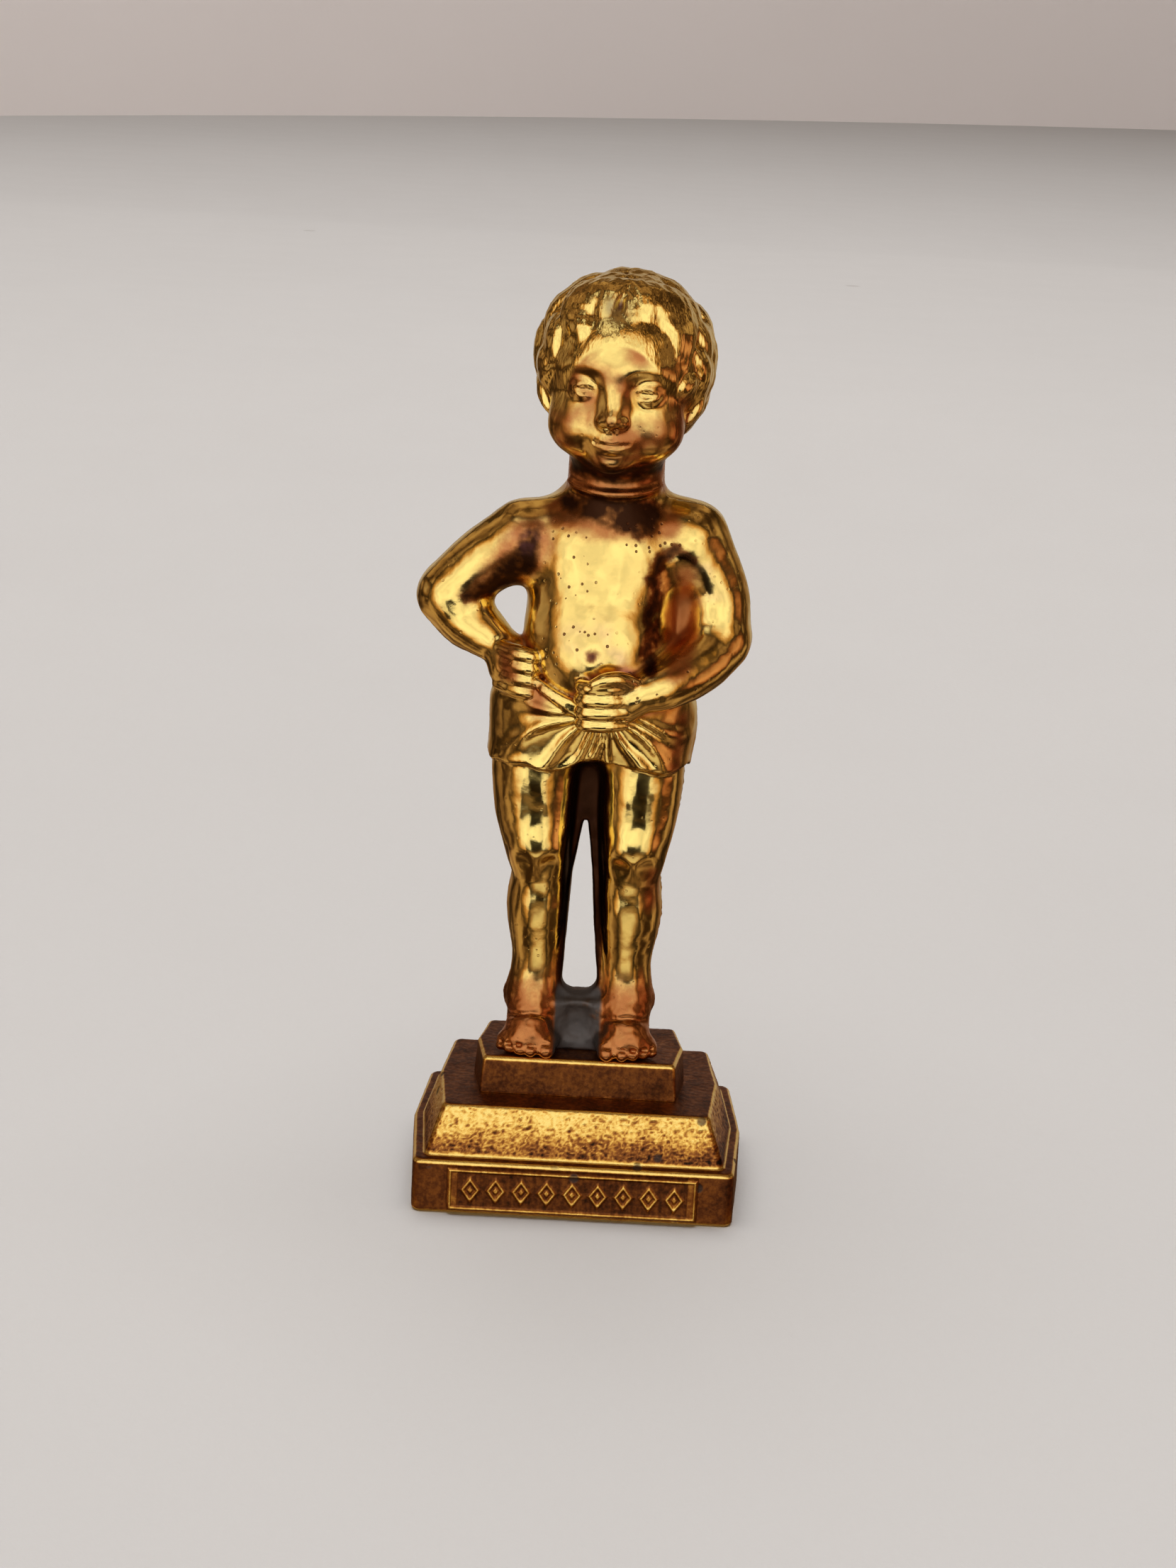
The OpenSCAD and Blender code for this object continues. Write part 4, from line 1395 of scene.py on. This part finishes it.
def figure_plating():
    """Bright brass plating: painted shade that turns the hollows coppery and the deepest of them near black,
    painted shade in the creases, patches of painted shade and painted reflection, and fine dark pits.
    """
    look = Look("figure_plating", Metallic=1.0)
    cloud, mottle = look.noise(170, 4), look.noise(620, 5, 0.6)

    # Painted shade: the stored hollow value darkens the gold through copper and umber to near black, the
    # deeper the hollow.
    depth = look.plus(look.stored("hollow"), look.sway(cloud, 0.035), look.sway(mottle, 0.012))
    colour = look.ramp(depth, ((0.0, GOLD), (0.555, GOLD), (0.61, DEEP_GOLD), (0.67, COPPER),
                               (0.75, UMBER), (0.85, NEAR_BLACK_BROWN)))
    # Painted shade in the creases: the stored crease value mixes in umber.
    crease = look.plus(look.stored("crease"), look.sway(mottle, 0.02))
    colour = look.mix(look.fade(crease, 0.57, 0.7, 0.0, 0.9), colour, UMBER)
    # Coppery tone: the plating's own on the feet and armpits, painted shade and painted reflection under the
    # chin, round the neck, on the face and in the listed patches.
    copper_and_shade = look.fade(look.plus(look.stored("copper_and_shade"), look.sway(mottle, 0.12)), 0.12, 0.85)
    colour = look.mix(copper_and_shade, colour, DULL_COPPER)
    # Painted shade and painted dark reflections: a dark coppery fringe, then near black.
    shade_and_dark_reflection = look.plus(look.stored("shade_and_dark_reflection"), look.sway(mottle, 0.16))
    colour = look.mix(look.fade(shade_and_dark_reflection, 0.1, 0.55), colour, SHADE_FRINGE_COPPER)
    shade_and_dark_reflection = look.fade(shade_and_dark_reflection, 0.35, 0.9, 0.0, 0.95)
    colour = look.mix(shade_and_dark_reflection, colour, BLACK_BROWN)
    blush = look.times(look.fade(look.noise(95, 3), 0.6, 0.72, 0.0, 0.35), look.fade(cloud, 0.4, 0.6))
    colour = look.mix(blush, colour, BLUSH)
    where = look.times(look.stored("pits"), look.fade(look.noise(260, 3), 0.36, 0.6))
    pitted = look.math("MAXIMUM", specks(look, 1500, 0.24, 0.6), specks(look, 700, 0.15, 0.3))
    pitted = look.times(pitted, look.fade(where, 0.1, 0.5))
    colour = look.mix(look.times(pitted, 0.85), colour, UMBER)
    bare = look.times(look.stored("bare"), look.fade(mottle, 0.3, 0.5, 0.75, 1.2), clamp=True)
    colour = look.mix(bare, colour, ZINC)

    rough = look.plus(look.fade(look.stored("hollow"), 0.52, 0.75, 0.135, 0.42),
                      look.fade(mottle, 0.3, 0.75, -0.03, 0.05),
                      look.times(bare, 0.35), look.times(shade_and_dark_reflection, 0.18), look.times(copper_and_shade, 0.12),
                      look.times(pitted, 0.3), clamp=True)

    strands = look.noise(2300, 2, 0.55, look.stretched((1, 1, 0.13)))
    scratches = look.noise(900, 2, 0.5, look.stretched((1, 1, 0.08)))
    normal = look.bump(look.noise(420, 2, 0.4), 0.00011)
    normal = look.bump(look.noise(2600, 3, 0.6), 0.000006, normal)
    normal = look.bump(look.times(strands, look.stored("hair")), 0.00006, normal)
    normal = look.bump(scratches, 0.000008, normal)
    look.shade(Base_Color=colour, Roughness=rough, Normal=look.bump(pitted, -0.00004, normal))
    return look.material


# Colours from bright brass to near black, for tarnishing and painted shade together.
BROWNING_AND_SHADE = ((0.0, (0.95, 0.7, 0.22)), (0.2, (0.84, 0.52, 0.12)), (0.4, (0.56, 0.26, 0.05)),
            (0.58, (0.3, 0.105, 0.026)), (0.8, (0.14, 0.045, 0.016)), (1.0, NEAR_BLACK_BROWN))


def stand_plating(name, grain_scale):
    """Satin brass plating on the plinth and block, browned where hands don't rub it bright, with the painted
    shade and painted highlight that its stored value carries.
    """
    look = Look(name, Metallic=1.0)
    mottle, fine = look.noise(500, 5, 0.6), look.noise(2400, 3, 0.6)
    tarnish_and_shade = look.plus(look.stored("tarnish_and_shade"), look.sway(mottle, 0.05), look.sway(fine, 0.1))
    dents = look.times(specks(look, 520, 0.3, 0.1), look.fade(look.noise(110, 2), 0.4, 0.55))
    colour = look.mix(look.times(dents, 0.8), look.ramp(tarnish_and_shade, BROWNING_AND_SHADE), LEAD_GREY)
    rough = look.plus(look.fade(tarnish_and_shade, 0.1, 0.9, 0.27, 0.48), look.times(dents, 0.25), clamp=True)
    normal = look.bump(look.noise(grain_scale, 4, 0.6), 0.00004)
    normal = look.bump(fine, 0.000014, normal)
    look.shade(Base_Color=colour, Roughness=rough, Normal=look.bump(dents, -0.00005, normal))
    return look.material


def plated_steel():
    look = Look("plated_steel", Metallic=1.0, Anisotropic=0.4)
    brushed = look.noise(900, 4, 0.6, look.stretched((1, 1, 0.1)))
    colour = look.ramp(look.noise(300, 4), ((0.3, (0.5, 0.5, 0.49)), (0.7, (0.68, 0.68, 0.66))))
    look.shade(Base_Color=colour, Roughness=look.fade(brushed, 0.3, 0.7, 0.22, 0.36),
               Normal=look.bump(brushed, 0.00001))
    return look.material


def wool_felt():
    look = Look("wool_felt", Sheen_Weight=0.5, Sheen_Roughness=0.5)
    fibres = look.noise(2600, 5, 0.7)
    shade = look.plus(look.times(fibres, 0.6), look.times(look.noise(500), 0.4))
    colour = look.ramp(shade, ((0.35, (0.03, 0.075, 0.04)), (0.65, (0.09, 0.19, 0.105))))
    look.shade(Base_Color=colour, Roughness=look.fade(fibres, 0.3, 0.7, 0.85, 1.0),
               Normal=look.bump(fibres, 0.0002))
    return look.material


def paper(name, colour, grain):
    """A pale matt surface with a faint grain and the odd fleck."""
    look = Look(name)
    tint = look.ramp(look.noise(3, 3), ((0.3, tuple(0.97 * c for c in colour)), (0.7, colour)))
    fleck = look.times(specks(look, 14, 0.05, 0.12), 0.25)
    tint = look.mix(fleck, tint, (0.2, 0.17, 0.15))
    look.shade(Base_Color=tint, Roughness=look.fade(look.noise(40), 0.3, 0.7, 0.75, 0.9),
               Normal=look.bump(look.noise(grain, 4, 0.6), 0.00008))
    return look.material


def dress(obj, material):
    obj.data.materials.clear()
    obj.data.materials.append(material)


# ---- stage -----------------------------------------------------------------------------------

FLOOR_HALF = 3.6
FLOOR_DROP = 0.00002                      # keeps the floor clear of the plinth's underside
WALL_R, WALL_H = 2.2, 3.0
DOME_R = 2.6


def stage_mesh(name, material, make, place=(0, 0, 0), **size):
    """A part of the stage, in one of Blender's ready-made shapes."""
    mesh = bpy.data.meshes.new(name)
    with editing(mesh) as bm:
        make(bm, **size)
    obj = link(name, mesh)
    obj.location = place
    dress(obj, material)
    return obj


def build_floor():
    obj = stage_mesh("floor", paper("desk", (0.55, 0.543, 0.535), 1100), bmesh.ops.create_grid,
                     (0, 0, -FLOOR_DROP), x_segments=40, y_segments=40, size=FLOOR_HALF)
    obj.visible_glossy = False


def build_wall():
    """A round wall behind the stage, so that every view has a plain pale ground."""
    obj = stage_mesh("wall", paper("wall_paint", (0.88, 0.825, 0.805), 300), bmesh.ops.create_cone,
                     (1.15, 0, WALL_H / 2 - 0.001), segments=128, radius1=WALL_R, radius2=WALL_R,
                     depth=WALL_H)
    obj.data.shade_smooth()
    obj.visible_glossy = False
    obj.visible_diffuse = False


def upright_card(name, centre, size, material, facing):
    """A flat card at centre, its face towards facing, that only shows as a reflection in the metal."""
    w, h = size[0] / 2, size[1] / 2
    mesh = bpy.data.meshes.new(name)
    mesh.from_pydata([(-w, -h, 0), (w, -h, 0), (w, h, 0), (-w, h, 0)], [], [(0, 1, 2, 3)])
    obj = link(name, mesh)
    obj.rotation_euler = facing.to_track_quat("Z", "Y").to_euler()
    obj.location = centre
    dress(obj, material)
    glossy_only(obj)


def glossy_only(obj):
    obj.visible_camera = False
    obj.visible_shadow = False
    obj.visible_diffuse = False


def matt(name, colour):
    look = Look(name, Roughness=0.9)
    look.shade(Base_Color=look.ramp(look.noise(20), ((0.3, colour), (0.7, tuple(1.1 * c for c in colour)))))
    return look.material


def glow(name, strength, middle, edge):
    """A glowing card, brightest in the middle and uneven, as a window with a thin curtain is."""
    look = Look(name)
    where = look.add("ShaderNodeSeparateXYZ", {0: look.add("ShaderNodeTexCoord").outputs["Generated"]})
    fades = []
    for axis in ("X", "Y"):
        off = look.math("ABSOLUTE", look.math("SUBTRACT", where.outputs[axis], 0.5))
        fades.append(look.fade(off, 0.12, 0.5, 1.0, 0.0))
    share = look.times(*fades)
    uneven = look.fade(look.noise(4.5, 3), 0.3, 0.65, 0.62, 1.0)
    colour = look.mix(look.fade(share, 0.45, 1.0), edge, middle)
    look.shade(Base_Color=(0, 0, 0, 1), Emission_Color=colour,
               Emission_Strength=look.times(look.times(share, uneven), strength))
    return look.material


def room_glow():
    """The room as the metal sees it: warm and dim, with a few lighter stretches."""
    look = Look("room_glow")
    patches = look.noise(0.9, 3, 0.55)
    colour = look.ramp(patches, ((0.3, (0.95, 0.38, 0.14)), (0.7, (1.0, 0.7, 0.4))))
    look.shade(Base_Color=(0, 0, 0, 1), Emission_Color=colour,
               Emission_Strength=look.fade(patches, 0.4, 0.68, 0.03, 0.5))
    return look.material


CARDS = (                                 # name, centre, size, strength, colour, colour at the edge
    ("window", (-0.06, -0.6, 0.14), (3.0, 1.9), 1.35, (1, 0.97, 0.9), (1, 0.52, 0.18)),
    ("top", (-0.16, -0.22, 0.5), (0.34, 0.26), 1.1, (1, 0.97, 0.9), (1, 0.8, 0.6)),
    ("desk", (0.0, -0.09, -0.035), (0.16, 0.075), 0.9, (1, 0.88, 0.68), (1, 0.6, 0.3)),
    ("left", (-0.75, 0.05, 0.15), (0.5, 0.5), 0.45, (1, 0.7, 0.45), (1, 0.5, 0.2)),
    ("back", (0.1, 0.9, 0.15), (3.2, 1.7), 0.5, (1, 0.84, 0.7), (1, 0.55, 0.25)),
    ("right", (0.5, -0.12, 0.0), (0.4, 0.4), 0.75, (1, 0.5, 0.3), (1, 0.35, 0.15)),
)
CARDS_FACE = Vector((0, 0, 0.05))         # the place that the glowing cards face
DARK_CARD_SIZE, DARK_CARD_Z = (0.16, 0.085), -0.045
ROOM_LIGHT = Vector((-0.1, 0.25, 1.7))
ROOM_LIGHT_AIM = Vector((0.05, 0.4, 0))


def light_stage(eye):
    """One soft light from above, and the surroundings that the metal reflects."""
    light = bpy.data.lights.new("room_light", "AREA")
    light.size = 2.0
    light.energy = 46.0
    light.color = (1.0, 0.995, 0.99)
    room = link("room_light", light)
    room.location = ROOM_LIGHT
    room.rotation_euler = (ROOM_LIGHT_AIM - ROOM_LIGHT).to_track_quat("-Z", "Y").to_euler()
    room.visible_camera = False
    room.visible_glossy = False
    glossy_only(stage_mesh("room_shell", room_glow(), bmesh.ops.create_icosphere,
                           subdivisions=4, radius=DOME_R))
    for name, centre, size, strength, middle, edge in CARDS:
        material = glow(name + "_glow", strength, middle, edge)
        upright_card(name + "_card", centre, size, material, CARDS_FACE - Vector(centre))
    under_eye = (eye.x + 0.01, eye.y, DARK_CARD_Z)
    dark = matt("dark_cloth", (0.025, 0.017, 0.012))
    upright_card("dark_card", under_eye, DARK_CARD_SIZE, dark, Vector((0, 1, 0)))
    world = bpy.data.worlds.new("room")
    world.use_nodes = True
    background = world.node_tree.nodes["Background"]
    background.inputs["Color"].default_value = (0.9, 0.56, 0.36, 1)
    background.inputs["Strength"].default_value = 0.13
    bpy.context.scene.world = world
    bpy.context.scene.view_settings.view_transform = "Standard"


AIM = Vector((-0.00046, 0, 0.03934))
CAMERA_FAR = 0.25
PITCH, YAW, ROLL = (math.radians(a) for a in (17.0, -0.8, 2.7))
LENS, SENSOR_W = 61.7, 36


def place_camera():
    ahead = Vector((math.sin(YAW), math.cos(YAW), 0))
    across = Vector((math.cos(YAW), -math.sin(YAW), 0))
    forward = Vector((0, 0, -math.sin(PITCH))) + ahead * math.cos(PITCH)
    level_up = ahead * math.sin(PITCH) + Vector((0, 0, math.cos(PITCH)))
    right = across * math.cos(ROLL) + level_up * math.sin(ROLL)
    up = level_up * math.cos(ROLL) - across * math.sin(ROLL)
    camera = bpy.data.cameras.new("camera")
    camera.lens = LENS
    camera.sensor_width = SENSOR_W
    camera.clip_start = 0.01
    camera.clip_end = 20
    obj = link("camera", camera)
    obj.matrix_world = Matrix((right, up, -forward)).transposed().to_4x4()
    obj.location = AIM - forward * CAMERA_FAR
    bpy.context.scene.camera = obj
    return obj


# ---- build -----------------------------------------------------------------------------------

def own(piece, node, material):
    """Puts a piece in the place of a CAD node."""
    dress(piece, material)
    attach(piece, "root")
    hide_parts(node)


def build():
    brass = figure_plating()
    for piece, node in zip(build_figure(), ("figure_front", "figure_back")):
        own(piece, node, brass)
    own(build_plinth(), "plinth", stand_plating("plinth_plating", 900))
    own(build_block(), "top_block", stand_plating("block_plating", 1300))
    own(build_panel(), "name_panel", stand_plating("panel_plating", 1300))
    felt = build_felt()
    own(felt, "base_felt", wool_felt())
    steel = plated_steel()
    for node in ("shell_pins", "foot_pins", "locating_dowels", "tie_screw", "tie_washer"):
        for obj in bpy.data.objects:
            if obj.get("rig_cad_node") == node:
                dress(obj, steel)


build()
build_floor()
build_wall()
light_stage(place_camera().location)
